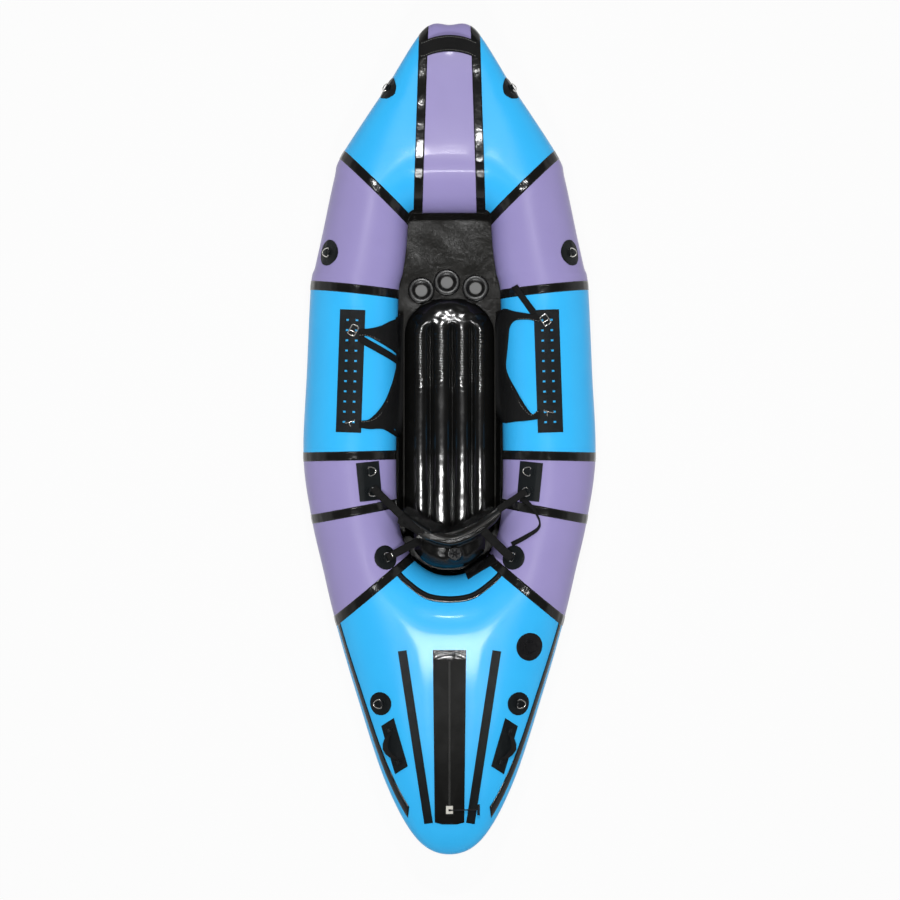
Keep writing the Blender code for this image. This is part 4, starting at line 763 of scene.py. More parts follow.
def add_node(tree, kind, **values):
    """A node with its settings, and with its inputs at values or fed by sockets."""
    node = tree.nodes.new(kind)
    for key, value in values.items():
        if key not in node.inputs.keys():
            setattr(node, key, value)
        elif isinstance(value, bpy.types.NodeSocket):
            tree.links.new(value, node.inputs[key])
        else:
            node.inputs[key].default_value = value
    return node


def maths(tree, operation, first, second=None):
    """A math node fed by sockets or plain numbers."""
    node = tree.nodes.new("ShaderNodeMath")
    node.operation = operation
    for index, value in enumerate((first, second)):
        if value is None:
            continue
        if isinstance(value, (int, float)):
            node.inputs[index].default_value = value
        else:
            tree.links.new(value, node.inputs[index])
    return node.outputs[0]


def object_place(tree):
    return add_node(tree, "ShaderNodeTexCoord").outputs["Object"]


def weave_group():
    """Crossed threads, as a height between 0 and 1."""
    group, inputs, outputs = shader_group("cloth_weave", [("Thread", 700.0)], ["Height"])
    place, thread = object_place(group), inputs.outputs["Thread"]
    x, y, z = (
        add_node(group, "ShaderNodeTexWave", bands_direction=direction, Distortion=0.4,
                 Vector=place, Scale=thread).outputs["Fac"]
        for direction in "XYZ"
    )
    height = maths(group, "MULTIPLY", maths(group, "MAXIMUM", x, y), maths(group, "ADD", z, 0.5))
    group.links.new(height, outputs.inputs["Height"])
    return group


def crease_group():
    """Soft folds and fine creases of coated cloth, as a height between 0 and 1."""
    group, inputs, outputs = shader_group("cloth_creases", [("Size", 9.0)], ["Height", "Cloud"])
    place = object_place(group)
    soft = add_node(group, "ShaderNodeTexNoise", Vector=place, Scale=inputs.outputs["Size"],
                    Detail=3.0, Roughness=0.45, Distortion=0.3).outputs["Fac"]
    fine = add_node(group, "ShaderNodeTexNoise", Vector=place, Scale=45.0,
                    Detail=2.0, Roughness=0.5, Distortion=1.2).outputs["Fac"]
    height = maths(group, "ADD", maths(group, "MULTIPLY", soft, 0.75),
                   maths(group, "MULTIPLY", fine, 0.25))
    group.links.new(height, outputs.inputs["Height"])
    group.links.new(soft, outputs.inputs["Cloud"])
    return group


def wear_group():
    """Dust and rubbing, as a mask between 0 and 1."""
    group, inputs, outputs = shader_group("dust_and_rub", [("Size", 14.0)], ["Mask"])
    cloud = add_node(group, "ShaderNodeTexNoise", Vector=object_place(group),
                     Scale=inputs.outputs["Size"], Detail=6.0, Roughness=0.62).outputs["Fac"]
    mask = maths(group, "MULTIPLY", maths(group, "SUBTRACT", cloud, 0.42), 3.0)
    clamp = add_node(group, "ShaderNodeClamp", Value=mask)
    group.links.new(clamp.outputs[0], outputs.inputs["Mask"])
    return group


def use_group(tree, name, maker, **values):
    """A shared node group in a tree, made at its first use."""
    group = bpy.data.node_groups.get(name) or maker()
    return add_node(tree, "ShaderNodeGroup", node_tree=group, **values).outputs


def mixed(tree, factor, low, high):
    """A colour between two others, by a factor socket."""
    return add_node(tree, "ShaderNodeMix", data_type="RGBA", Factor=factor, A=(*low, 1),
                    B=(*high, 1)).outputs["Result"]


def new_surface(name, specular, rough, rub, wear_size=14.0):
    """A material whose gloss is rubbed in places, its tree, its shader and the rubbed mask."""
    material = bpy.data.materials.new(f"{name}_surface")
    material.use_nodes = True
    tree = material.node_tree
    shader = tree.nodes["Principled BSDF"]
    shader.inputs["Specular IOR Level"].default_value = specular
    wear = use_group(tree, "dust_and_rub", wear_group, Size=wear_size)["Mask"]
    dull = maths(tree, "ADD", maths(tree, "MULTIPLY", wear, rub), rough)
    tree.links.new(dull, shader.inputs["Roughness"])
    return material, tree, shader, wear


def cloth_material(name, colour, rough, thread=700.0, weave=0.15, crease=0.0, crease_size=9.0,
                   coat=0.0, specular=0.5, tone=0.3, rub=0.05):
    """Coated or woven cloth: weave and creases in its bump, clouds in colour and gloss."""
    material, tree, shader, _ = new_surface(name, specular, rough, rub)
    shader.inputs["Coat Weight"].default_value = coat
    shader.inputs["Coat Roughness"].default_value = 0.08
    creases = use_group(tree, "cloth_creases", crease_group, Size=crease_size)
    weaves = use_group(tree, "cloth_weave", weave_group, Thread=thread)
    darker = [c * (1 - tone) for c in colour]
    lighter = [min(c * (1 + tone) + 0.002, 1) for c in colour]
    tree.links.new(mixed(tree, creases["Cloud"], darker, lighter), shader.inputs["Base Color"])
    threads = add_node(tree, "ShaderNodeBump", Strength=weave, Distance=0.0006,
                       Height=weaves["Height"])
    folds = add_node(tree, "ShaderNodeBump", Strength=crease, Distance=0.01,
                     Height=creases["Height"], Normal=threads.outputs["Normal"])
    tree.links.new(folds.outputs["Normal"], shader.inputs["Normal"])
    return material


def hard_material(name, colour, rough, metallic=0.0, grain=0.1, specular=0.5, rub=0.15):
    """Moulded plastic or metal with a fine grain and rubbed gloss."""
    material, tree, shader, wear = new_surface(name, specular, rough, rub, 60.0)
    shader.inputs["Metallic"].default_value = metallic
    lighter = [min(c * 1.25 + 0.003, 1) for c in colour]
    tree.links.new(mixed(tree, wear, colour, lighter), shader.inputs["Base Color"])
    speck = add_node(tree, "ShaderNodeTexNoise", Vector=object_place(tree), Scale=180.0,
                     Detail=4.0)
    specks = add_node(tree, "ShaderNodeBump", Strength=grain, Distance=0.001,
                      Height=speck.outputs["Fac"])
    tree.links.new(specks.outputs["Normal"], shader.inputs["Normal"])
    return material


HULL_CLOTH = dict(weave=0.08, crease=0.015, tone=0.04, specular=0.14, coat=0.04)
# Each material's colour, roughness and other settings
CLOTHS = {
    "blue_hull_fabric": ("blue", 0.32, HULL_CLOTH),
    "purple_hull_fabric": ("purple", 0.32, HULL_CLOTH),
    "seam_tape": ("tape", 0.12, dict(
        weave=0.05, crease=0.10, crease_size=30.0, specular=0.25, rub=0.03)),
    "floor_fabric": ("floor", 0.22, dict(
        weave=0.1, crease=0.16, crease_size=14.0, specular=0.10)),
    "seat_vinyl": ("vinyl", 0.17, dict(weave=0.02, crease=0.03, crease_size=20.0, specular=0.6)),
    "backrest_fabric": ("vinyl", 0.20, dict(
        weave=0.1, crease=0.25, crease_size=16.0, specular=0.35)),
    "patch_fabric": ("patch", 0.30, dict(
        weave=0.2, crease=0.05, crease_size=25.0, specular=0.10, rub=0.12)),
    "webbing": ("webbing", 0.55, dict(
        thread=380.0, weave=0.6, crease=0.04, specular=0.1, rub=0.12)),
    "zip_tape": ("tape", 0.30, dict(weave=0.08, crease=0.08, crease_size=22.0, specular=0.03)),
    "band_vinyl": ("floor", 0.30, dict(weave=0.05, crease=0.1, crease_size=40.0)),
}
HARDS = {
    "valve_plastic": ("plastic", 0.32, dict(grain=0.15, specular=0.1)),
    "ring_steel": ("steel", 0.2, dict(metallic=1.0, grain=0.05, rub=0.05)),
    "buckle_steel": ("steel", 0.18, dict(metallic=1.0, grain=0.05, rub=0.05)),
    "slider_plastic": ("cream", 0.4, {}),
    "puller_cord": ("plastic", 0.5, dict(grain=0.3, specular=0.15)),
    "zip_teeth": ("coil", 0.35, dict(specular=0.2)),
    "drain_rubber": ("rubber", 0.22, dict(grain=0.05, specular=0.2)),
    "sewing_thread": ("thread", 0.7, dict(grain=0.3)),
}


def material_for(name):
    """The material with a name, made at its first use."""
    material = bpy.data.materials.get(f"{name}_surface")
    if material is None:
        maker, table = (cloth_material, CLOTHS) if name in CLOTHS else (hard_material, HARDS)
        colour, rough, settings = table[name]
        material = maker(name, getattr(look(), colour), rough, **settings)
    return material


def hull_panel(node, spans, material):
    """One panel of the hull, an open tube of fabric between two seams."""
    bm = bmesh.new()
    for first, last in spans:
        lay_grid(bm, first, last, 0.0, 360.0, sizes().spacing)
    thicken(node_piece(f"{node}_skin", bm, material, node), sizes().fabric, -1.0)


class PACKRAFT_OT_hull(bpy.types.Operator):
    """Covers the air tube with its coloured fabric panels"""

    bl_idname = "packraft.hull"
    bl_label = "Hull Panels"

    def execute(self, context):
        bow, diagonal, front, middle, rear, stern = SEAMS
        blue, purple = "blue_hull_fabric", "purple_hull_fabric"
        hull_panel("bow_centre_panel", [(-bow, bow)], purple)
        hull_panel("stern_panel", [(stern, STERN), (STERN, 2 * STERN - stern)], blue)
        spans = (
            ("bow_side_panel", bow, diagonal, blue), ("front_tube_panel", diagonal, front, purple),
            ("mid_tube_panel", front, middle, blue), ("rear_tube_panel", middle, stern, purple),
        )
        for name, first, last, material in spans:
            hull_panel(f"{name}_right", [(first, last)], material)
            hull_panel(f"{name}_left", [(-last, -first)], material)
        return {"FINISHED"}


def tape_runs(bm, side):
    """Every tape of one half: on the seams, round the floor joint and on the stern."""
    bow, diagonal, *_, stern = SEAMS
    lift, spacing = sizes().tape_lift, sizes().tape_spacing
    runs = [(seam - 1, seam + 1, 0.0, 360.0, 0.0) for seam in SEAMS]
    raised = sizes().tape * 0.3
    runs += [
        (bow + 1, diagonal - 1, *INNER_TAPE_ANGLES, raised),
        (1, STERN, *FLOOR_TAPE_ANGLES, raised),
        (stern + 1, STERN, *ARC_TAPE_ANGLES, raised),
        (stern + 1, STERN - 2, *EDGE_TAPE_ANGLES, raised),
    ]
    for first, last, low, high, more in runs:
        ends = (first, last) if side > 0 else (-last, -first)
        lay_grid(bm, *ends, low, high, spacing, lift + more)


class PACKRAFT_OT_tapes(bpy.types.Operator):
    """Lays the black welded tapes over the seams"""

    bl_idname = "packraft.tapes"
    bl_label = "Seam Tapes"

    def execute(self, context):
        for label, side in SIDES:
            node = f"seam_tape_{label}"
            bm = bmesh.new()
            tape_runs(bm, side)
            thicken(node_piece(f"{node}_welded", bm, "seam_tape", node), sizes().tape, 1.0)
        return {"FINISHED"}


def grid_cut(bm, spacing, low, high):
    """Cuts a flat body into a square grid, keeping its outline and its holes."""
    for axis in (0, 1):
        normal = Vector((0, 0, 0))
        normal[axis] = 1
        count = int((high[axis] - low[axis]) / spacing)
        for step in range(1, count):
            spot = Vector((0, 0, 0))
            spot[axis] = low[axis] + (high[axis] - low[axis]) * step / count
            geometry = bm.verts[:] + bm.edges[:] + bm.faces[:]
            bmesh.ops.bisect_plane(bm, geom=geometry, plane_co=spot, plane_no=normal, dist=0.0001)


class PACKRAFT_OT_floor(bpy.types.Operator):
    """Makes the floor sheet with its soft folds and three drain rings"""

    bl_idname = "packraft.floor"
    bl_label = "Floor"

    def execute(self, context):
        node = "floor_sheet"
        low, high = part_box(node)
        bm = node_copy(node)
        grid_cut(bm, FLOOR_SPACING, low, high)
        bmesh.ops.triangulate(bm, faces=[face for face in bm.faces if len(face.verts) > 4])
        drains = [opening["box_m"] for opening in RECORD["physics"]["openings"]
                  if opening["name"].startswith("drain_hole")]
        centres = [Vector(((a[0] + b[0]) / 2, (a[1] + b[1]) / 2)) for a, b in drains]
        for vertex in bm.verts:
            x, y, z = vertex.co
            if z < FLOOR_TOP:
                continue
            near = min((Vector((x, y)) - centre).length for centre in centres)
            share = smooth(*DRAIN_CLEARING, near) * (0.6 + 1.4 * smooth(*CREASED_FRONT, y))
            folds = ripple(x * 16, y * 4.5, 1.7) + 0.4 * ripple(x * 40, y * 14, 5)
            vertex.co.z += share * FLOOR_FOLD * (folds + 0.7)
        node_piece("floor_fabric", bm, "floor_fabric", node)
        bm = bmesh.new()
        for centre in centres:
            spots = [bm.verts.new((centre.x + radius, centre.y, z)) for radius, z in DRAIN_PROFILE]
            lines = [bm.edges.new(pair) for pair in zip(spots, spots[1:] + spots[:1])]
            bmesh.ops.spin(bm, geom=spots + lines, cent=(*centre, 0), axis=(0, 0, 1),
                           dvec=(0, 0, 0), angle=2 * math.pi, steps=64, use_merge=True)
        bmesh.ops.remove_doubles(bm, verts=bm.verts, dist=WELD_RADIUS)
        bmesh.ops.recalc_face_normals(bm, faces=bm.faces)
        node_piece("drain_rings", bm, "drain_rubber", node, replaced=False)
        self.walls(node)
        return {"FINISHED"}

    def walls(self, node):
        """The floor's crumpled edges, which climb the inner walls beside the seat mat."""
        (foot_x, foot_z), (head_x, head_z) = WALL_FOOT, WALL_HEAD
        bm = bmesh.new()
        for side in (-1, 1):
            lay_strip(bm, [((side * foot_x, y, foot_z), (side * head_x, y, head_z))
                           for y in WALL_STATIONS], steps=150, across=14)
        for vertex in bm.verts:
            x, y, z = vertex.co
            rise = (z - foot_z) / (head_z - foot_z)
            fold = ripple(x * 9, y * 34, z * 15) + 0.5 * ripple(x, y * 80, z * 40)
            vertex.co.x -= math.copysign(WALL_FOLD * fold * math.sin(math.pi * rise), x)
        piece = node_piece("floor_walls", bm, "backrest_fabric", node, replaced=False)
        thicken(piece, WALL_THICKNESS, -1.0)


def chamber_place(across):
    """Place across the mat counted in chambers, whose seams aren't evenly spaced."""
    index = max(number for number in range(len(MAT_SEAMS) - 1) if across >= MAT_SEAMS[number])
    start, end = MAT_SEAMS[index], MAT_SEAMS[index + 1]
    return index + min((across - start) / (end - start), 1.0)


def mat_height(across, front, rear):
    """Height share of the mat at a place across it, and at distances from its two ends."""
    place = abs(chamber_place(across) % 1 - 0.5) * 2
    bulge = math.sqrt(max(1 - place ** 2.4, 0.0))
    ribbed = smooth(DOME_LENGTH * 0.8, DOME_LENGTH * 1.15, front)
    groove = MAT_GROOVE_SHARE * ribbed
    tip = 1 - min(front / MAT_NOSE, 1)
    side = math.sqrt(max(1 - abs(across) ** (6 - 3.4 * smooth(0, 0.5, tip)), 0.0))
    nose = max(1 - tip ** 3.4, 0.0) ** 0.3
    heel = math.sqrt(max(1 - (1 - min(rear / MAT_HEEL, 1)) ** 2, 0.0))
    crown = (1 - groove) + groove * bulge
    return MAT_EDGE_SHARE + (crown - MAT_EDGE_SHARE) * side * nose * heel


def mat_pleats(across, front):
    """Pleats across the ribs, close together behind the dome and gone further back."""
    chamber = chamber_place(across)
    place = abs(chamber % 1 - 0.5) * 2
    fade = smooth(DOME_LENGTH * 0.95, DOME_LENGTH * 1.25, front)
    fade *= 1 - smooth(*PLEAT_END, front + 0.02 * math.sin(chamber * 9))
    phase = front / PLEAT_PITCH + ripple(across * 7, front * 20, 0) * 0.3
    pleat = 0.5 - 0.5 * math.cos(2 * math.pi * phase)
    return fade * pleat * (0.8 + 0.2 * place)


class PACKRAFT_OT_mat(bpy.types.Operator):
    """Makes the inflated seat mat with its ribs, pleats and domed nose"""

    bl_idname = "packraft.mat"
    bl_label = "Seat Mat"

    def execute(self, context):
        node = "seat_mat"
        low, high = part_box(node)
        half_width, length = (high.x - low.x) / 2, high.y - low.y
        centre, height = (high.x + low.x) / 2, high.z - MAT_BASE
        bm = bmesh.new()
        columns, rows = MAT_GRID
        made = bmesh.ops.create_grid(bm, x_segments=columns, y_segments=rows, size=1.0)
        bottoms = list(made["verts"])
        raised = bmesh.ops.extrude_face_region(bm, geom=bm.faces[:], use_keep_orig=True)
        tops = [part for part in raised["geom"] if isinstance(part, bmesh.types.BMVert)]
        top_set = set(tops)
        for vertex in tops + bottoms:
            across, share = vertex.co.x, (vertex.co.y + 1) / 2
            front, rear = (1 - share) * length, share * length
            nose = math.sqrt(max(1 - (1 - min(front / MAT_NOSE, 1)) ** 2, 0.0))
            heel = math.sqrt(max(1 - (0.6 * (1 - min(rear / MAT_HEEL, 1))) ** 2, 0.0))
            width = half_width * min(0.12 + 0.88 * nose, 1.0) * heel
            spot = Vector((centre + across * width, low.y + share * length, MAT_BASE))
            if vertex in top_set:
                slope = smooth(MAT_SLOPE_START, MAT_SLOPE_END, front / length)
                top = height - MAT_REAR_DROP * slope
                rise = mat_height(across, front, rear) * top
                rise -= sizes().mat_wrinkle * mat_pleats(across, front)
                rise += 0.0010 * noise.noise(spot * 9) + 0.0003 * noise.noise(spot * 55)
                domed = 1 - smooth(DOME_LENGTH, DOME_LENGTH * 1.3, front)
                rise += 0.0012 * domed * ripple(spot.x * 40, spot.y * 55, 8)
                edge = smooth(0.80, 0.95, abs(across))
                rise += 0.0016 * edge * ripple(across * 3, spot.y * 45, 2.0)
                spot.z += rise
            vertex.co = spot
        bmesh.ops.recalc_face_normals(bm, faces=bm.faces)
        piece = node_piece("seat_mat_cover", bm, "seat_vinyl", node)
        return {"FINISHED"}


def remeshed(node, voxel):
    """A copy of a node as one even net of small faces."""
    rough = show(f"{node}_rough", new_mesh(node, node_copy(node, flat=0.0)))
    modifier = rough.modifiers.new("net", "REMESH")
    modifier.mode = "VOXEL"
    modifier.voxel_size = voxel
    modifier.use_smooth_shade = True
    return evaluated_mesh(rough)


class PACKRAFT_OT_backrest(bpy.types.Operator):
    """Makes the backrest's cushion, its two bands and its webbing"""

    bl_idname = "packraft.backrest"
    bl_label = "Backrest"

    def execute(self, context):
        node = "backrest_cushion"
        bm = bmesh.new()
        bm.from_mesh(remeshed(node, BACKREST_NET))
        for _ in range(6):
            bmesh.ops.smooth_vert(bm, verts=bm.verts, factor=0.5, use_axis_x=True,
                                  use_axis_y=True, use_axis_z=True)
        bm.normal_update()
        for vertex in bm.verts:
            x, y, z = vertex.co
            vertex.co += vertex.normal * BACKREST_FOLD * ripple(x * 30, y * 12, z * 14)
        piece = node_piece("backrest_cover", bm, "backrest_fabric", node)
        subdivide(piece, 1)
        self.bands()
        self.webbing()
        return {"FINISHED"}

    def bands(self):
        """The matt band on the left wing and the glossy one along the top edge."""
        tree = joined_tree(["backrest_cushion"])

        def height(x, y):
            for step in range(12):
                top = drop(tree, x * (1 - 0.02 * step), y - 0.004 * step)
                if top is not None and top > BAND_FLOOR:
                    return top + BAND_LIFT
            return BAND_HEIGHT

        strap_piece("wing_band", [WING_BAND], "backrest", height=height)
        strap_piece("top_band", [TOP_BAND], "backrest", height=height, material="band_vinyl")

    def webbing(self):
        """The four straps to the rings, the loop and the tail of the right one."""
        replaced = (["backrest_strap_left"], [], ["backrest_strap_right"], [])
        for number, (edges, nodes) in enumerate(zip(BACKREST_STRAPS, replaced), 1):
            bm = bmesh.new()
            lay_strip(bm, edges, steps=24, across=4)
            near, far = edges[0][0], edges[1][0]
            for vertex in bm.verts:
                share = math.dist(vertex.co, near) / math.dist(near, far)
                vertex.co.z += STRAP_BOW * math.sin(math.pi * min(share, 1))
            piece = finish_piece(f"backrest_webbing_{number}", bm, "webbing", None, "webbing",
                                 nodes)
            thicken(piece, STRAP_THICKNESS, 1.0)
            ring, cushion = ((Vector(row[0]) + Vector(row[1])) / 2 for row in edges)
            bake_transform(piece)
        strap_piece("right_loop", [RIGHT_LOOP], "hull")
        strap_piece("tail_webbing", [TAIL_WEBBING], "hull")


def frame_line():
    """The rounded frame of a front buckle, about its middle."""
    width, length = FRAME_REACH
    points = []
    for quarter in range(4):
        across = 1 if quarter in (0, 3) else -1
        along = 1 if quarter in (0, 1) else -1
        for step in range(5):
            angle = math.radians(quarter * 90 + step * 22.5)
            points.append((across * (width - FRAME_CORNER) + FRAME_CORNER * math.cos(angle),
                           along * (length - FRAME_CORNER) + FRAME_CORNER * math.sin(angle),
                           FRAME_HEIGHT))
    return points


def buckle_runs(end, label, low, high):
    """Wire runs of a buckle: a frame with a bar at the front, a hooked bar at the rear."""
    middle = (low + high) / 2
    turn = Matrix.Rotation(math.radians(BUCKLE_TURNS[f"{end}_{label}"]), 3, "Z")
    runs = [(frame_line(), True)] if end == "front" else []
    runs += [(points, False) for points in BUCKLE_WIRES[end]]
    return [([middle + turn @ Vector(point) for point in points], closed)
            for points, closed in runs]


class PACKRAFT_OT_straps(bpy.types.Operator):
    """Makes the thigh straps with their stitching, and their wire buckles"""

    bl_idname = "packraft.straps"
    bl_label = "Thigh Straps"

    def execute(self, context):
        strap_piece("thigh_pad_left", [LEFT_PAD, LEFT_WEDGE, LEFT_BRANCH], "left_thigh_strap",
                    ["thigh_strap_left"])
        strap_piece("thigh_pad_right", [RIGHT_PAD], "right_thigh_strap", ["thigh_strap_right"])
        strap_piece("spare_webbing", [RIGHT_WEBBING], "hull")

        def top(x, y):
            return strap_height(x, y) + STRAP_THICKNESS

        left = [LEFT_ARC] + [edge_line(rows, STITCH_INSET) for rows in (LEFT_PAD, LEFT_WEDGE)]
        stitch_piece("thigh_pad_stitches_left", left, "left_thigh_strap", "webbing", top)
        stitch_piece("thigh_pad_stitches_right", [edge_line(RIGHT_PAD, STITCH_INSET)],
                     "right_thigh_strap", "webbing", top)
        for label, _ in SIDES:
            for end in ("front", "rear"):
                node = f"thigh_buckle_{end}_{label}"
                runs = buckle_runs(end, label, *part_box(node))
                node_piece(f"{node}_wire", wire_mesh(node, runs), "buckle_steel", node)
        return {"FINISHED"}


class PACKRAFT_OT_fittings(bpy.types.Operator):
    """Dresses the patches, the rung ladders and the rings"""

    bl_idname = "packraft.fittings"
    bl_label = "Patches and Rings"

    def execute(self, context):
        for node in sorted(BODY_OF):
            if node.endswith("_ring"):
                dress_node(node, "ring_steel", angle=180, levels=2, flat=0.0)
            elif node.endswith("_patch") or node.startswith(("ladder_patch", "deck_strip")):
                dress_node(node, "patch_fabric", angle=30, flat=0.0)
        return {"FINISHED"}


class PACKRAFT_OT_handles(bpy.types.Operator):
    """Dresses the bow handle and the two deck handles"""

    bl_idname = "packraft.handles"
    bl_label = "Handles"

    def execute(self, context):
        for node in ("bow_handle", "deck_handle_left", "deck_handle_right"):
            dress_node(node, "webbing", angle=40, flat=0.0)
        tree = joined_tree(["bow_handle"])
        lines = [[], []]
        for step in range(41):
            x = HANDLE_REACH * (step / 20 - 1)
            spots = [HANDLE_REAR + 0.001 * count for count in range(76)]
            rows = [y for y in spots if drop(tree, x, y)]
            for line, inset in zip(lines, HANDLE_INSETS):
                line.append((x, rows[0] + (rows[-1] - rows[0]) * inset))
        stitch_piece("bow_handle_stitches", lines, "hull", SLOT_OF["bow_handle"],
                     lambda x, y: drop(tree, x, y) or HANDLE_TOP)
        return {"FINISHED"}


class PACKRAFT_OT_zip(bpy.types.Operator):
    """Dresses the cargo zip, its slider and its puller"""

    bl_idname = "packraft.zip"
    bl_label = "Cargo Zip"

    def execute(self, context):
        dress_node("cargo_zip", "zip_tape", angle=30, flat=0.0)
        dress_node("zip_slider", "slider_plastic", bevel=0.0006)
        dress_node("zip_puller", "puller_cord", bevel=0.0004)
        tree = joined_tree(["cargo_zip"])
        self.teeth(tree)
        self.hem(tree)
        return {"FINISHED"}

    def teeth(self, tree):
        """The chain's coil, as short turns across it."""
        bm = bmesh.new()
        for step in range(int((CHAIN_START - CHAIN_END) / TOOTH_PITCH)):
            y = CHAIN_START - TOOTH_PITCH * (step + 0.5)
            add_ball(bm, Matrix.Translation((0.0, y, drop(tree, 0.001, y) - TOOTH_SINK)), TOOTH, 2)
        node_piece("zip_chain_coil", bm, "zip_teeth", "cargo_zip", replaced=False)

    def hem(self, tree):
        """The crinkled front hem of the zip's tape."""
        low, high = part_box("cargo_zip")
        front = high.y - HEM_MARGIN
        edges = [((low.x + HEM_MARGIN, front - HEM_LENGTH * share),
                  (high.x - HEM_MARGIN, front - HEM_LENGTH * share)) for share in (0, 0.5, 1)]

        def height(x, y):
            fold = 0.5 + 0.20 * math.cos((front - y - 6.0 * x * x) / HEM_WAVE)
            fold += 0.8 * ripple(x * 120, y * 35, 1.0)
            rise = smooth(0.0, HEM_RISE, y - (front - HEM_LENGTH))
            return (drop(tree, x, y) or low.z) - 0.0007 + rise * (0.0009 + HEM_FOLD * abs(fold))

        bm = bmesh.new()
        lay_strip(bm, edges, height, steps=36, across=100)
        piece = node_piece("zip_hem", bm, "seat_vinyl", "cargo_zip", replaced=False)
        thicken(piece, HEM_THICKNESS, 1.0)


class PACKRAFT_OT_valves(bpy.types.Operator):
    """Dresses the inflation valve and both caps"""

    bl_idname = "packraft.valves"
    bl_label = "Valves"

    def execute(self, context):
        for node in ("hull_valve_base", "hull_valve_cap", "backrest_valve_cap"):
            dress_node(node, "valve_plastic", bevel=0.0004)
        low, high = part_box("backrest_valve_cap")
        top = Matrix.Translation(((low.x + high.x) / 2, (low.y + high.y) / 2, high.z))
        bm = bmesh.new()
        for lobe in range(STAR_LOBES):
            turn = Matrix.Rotation(lobe * 2 * math.pi / STAR_LOBES, 4, "Z")
            add_ball(bm, top @ turn @ Matrix.Translation((STAR_REACH, 0, 0)), STAR_LOBE, 3)
        node_piece("star_grip", bm, "valve_plastic", "backrest_valve_cap", replaced=False)
        return {"FINISHED"}


def soft_lamp(name, place, size, power):
    """A rectangular lamp that shines at the origin."""
    lamp = bpy.data.lights.new(name, "AREA")
    lamp.shape = "RECTANGLE"
    lamp.size, lamp.size_y = size
    lamp.energy = power
    item = show(name, lamp)
    item.location = place
    item.rotation_mode = "QUATERNION"
    item.rotation_quaternion = (Vector() - Vector(place)).to_track_quat("-Z", "Y")


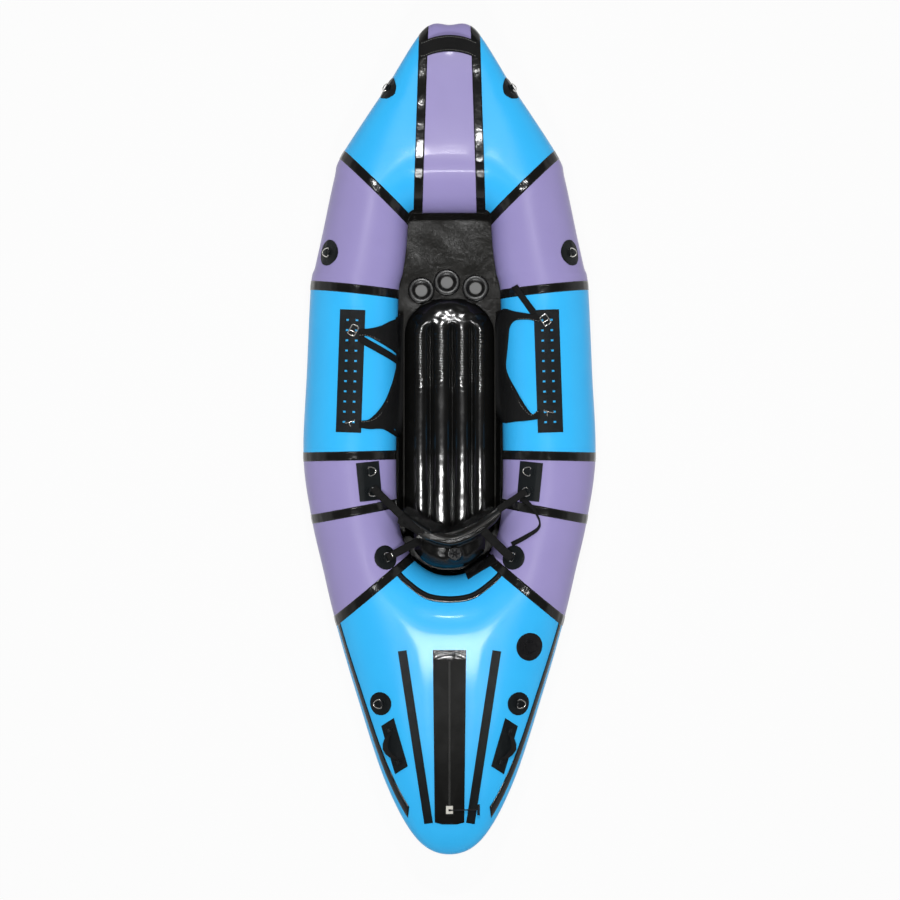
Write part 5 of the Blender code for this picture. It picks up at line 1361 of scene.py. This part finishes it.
class PACKRAFT_OT_stage(bpy.types.Operator):
    """Sets up the pale ground with painted shade under the boat, the soft lamps and the camera"""

    bl_idname = "packraft.stage"
    bl_label = "Stage"

    def ground(self):
        bm = bmesh.new()
        bmesh.ops.create_grid(bm, x_segments=1, y_segments=1, size=GROUND_SIZE)
        bmesh.ops.translate(bm, verts=bm.verts, vec=(0, 0, GROUND_HEIGHT))
        mesh = bpy.data.meshes.new("ground")
        bm.to_mesh(mesh)
        bm.free()
        item = show("ground", mesh)
        material = bpy.data.materials.new("pale_ground")
        material.use_nodes = True
        tree = material.node_tree
        shader = tree.nodes["Principled BSDF"]
        shader.inputs["Roughness"].default_value = 0.9
        glow = add_node(tree, "ShaderNodeEmission", Strength=1.0)
        rays = add_node(tree, "ShaderNodeLightPath").outputs
        seen = maths(tree, "MAXIMUM", rays["Is Camera Ray"], rays["Is Glossy Ray"])
        seen = maths(tree, "MAXIMUM", seen, rays["Is Transmission Ray"])
        # Painted shade: under the boat the ground gets a darker colour and no glow, so it reads as
        # shadowed through the drain holes
        split = add_node(tree, "ShaderNodeSeparateXYZ", Vector=object_place(tree))
        away = [maths(tree, "GREATER_THAN", maths(tree, "ABSOLUTE", split.outputs[axis]), reach)
                for axis, reach in zip("XY", PAINTED_SHADE_REACH)]
        beside = maths(tree, "MAXIMUM", *away)
        pale = look().ground
        painted_shade = [c * PAINTED_SHADE_TONE for c in pale]
        tree.links.new(mixed(tree, beside, painted_shade, pale), shader.inputs["Base Color"])
        share = maths(tree, "MULTIPLY", maths(tree, "MULTIPLY", seen, beside), GROUND_GLOW)
        mix = add_node(tree, "ShaderNodeMixShader", Fac=share)
        tree.links.new(shader.outputs[0], mix.inputs[1])
        tree.links.new(glow.outputs[0], mix.inputs[2])
        tree.links.new(mix.outputs[0], tree.nodes["Material Output"].inputs["Surface"])
        mesh.materials.append(material)

    def sky(self):
        world = bpy.data.worlds.new("studio")
        world.use_nodes = True
        bpy.context.scene.world = world
        tree = world.node_tree
        place = add_node(tree, "ShaderNodeTexCoord").outputs["Generated"]
        split = add_node(tree, "ShaderNodeSeparateXYZ", Vector=place)
        ramp = add_node(tree, "ShaderNodeMapRange", interpolation_type="SMOOTHSTEP",
                        Value=split.outputs["Z"], **SKY)
        tree.links.new(ramp.outputs["Result"], tree.nodes["Background"].inputs["Strength"])
        tree.nodes["Background"].inputs["Color"].default_value = (1, 1, 1, 1)

    def camera(self):
        lens = bpy.data.cameras.new("overhead")
        lens.sensor_width = SENSOR_WIDTH
        lens.lens = SENSOR_WIDTH * CAMERA_HEIGHT / PHOTO_SPAN
        lens.clip_end = 100.0
        item = show("overhead", lens)
        item.location = (*PHOTO_CENTRE, CAMERA_HEIGHT + WAIST_HEIGHT)
        bpy.context.scene.camera = item

    def execute(self, context):
        context.scene.view_settings.view_transform = "Standard"
        self.ground()
        self.sky()
        self.camera()
        for lamp in LAMPS:
            soft_lamp(*lamp)
        return {"FINISHED"}


class PACKRAFT_PT_panel(bpy.types.Panel):
    """Lists the steps that dress the packraft"""

    bl_label = "Packraft"
    bl_idname = "PACKRAFT_PT_panel"
    bl_space_type = "VIEW_3D"
    bl_region_type = "UI"
    bl_category = "Packraft"

    def draw(self, context):
        for step in STEPS:
            self.layout.operator(step.bl_idname)
        for group in (look(), sizes()):
            for name in group.bl_rna.properties.keys():
                if name not in ("rna_type", "name"):
                    self.layout.prop(group, name)


STEPS = (
    PACKRAFT_OT_hull, PACKRAFT_OT_tapes, PACKRAFT_OT_floor, PACKRAFT_OT_mat,
    PACKRAFT_OT_backrest, PACKRAFT_OT_fittings, PACKRAFT_OT_straps, PACKRAFT_OT_handles,
    PACKRAFT_OT_zip, PACKRAFT_OT_valves, PACKRAFT_OT_stage,
)
CLASSES = (PackraftColours, PackraftSizes, *STEPS, PACKRAFT_PT_panel)


def register():
    for item in CLASSES:
        bpy.utils.register_class(item)
    bpy.types.Scene.packraft_colours = PointerProperty(type=PackraftColours)
    bpy.types.Scene.packraft_sizes = PointerProperty(type=PackraftSizes)


def unregister():
    del bpy.types.Scene.packraft_sizes
    del bpy.types.Scene.packraft_colours
    for item in reversed(CLASSES):
        bpy.utils.unregister_class(item)


def main():
    register()
    bpy.ops.packraft.stage()
    bpy.ops.packraft.hull()
    bpy.ops.packraft.tapes()
    bpy.ops.packraft.floor()
    bpy.ops.packraft.mat()
    bpy.ops.packraft.backrest()
    bpy.ops.packraft.fittings()
    bpy.ops.packraft.straps()
    bpy.ops.packraft.handles()
    bpy.ops.packraft.zip()
    bpy.ops.packraft.valves()


if __name__ == "__main__":
    main()
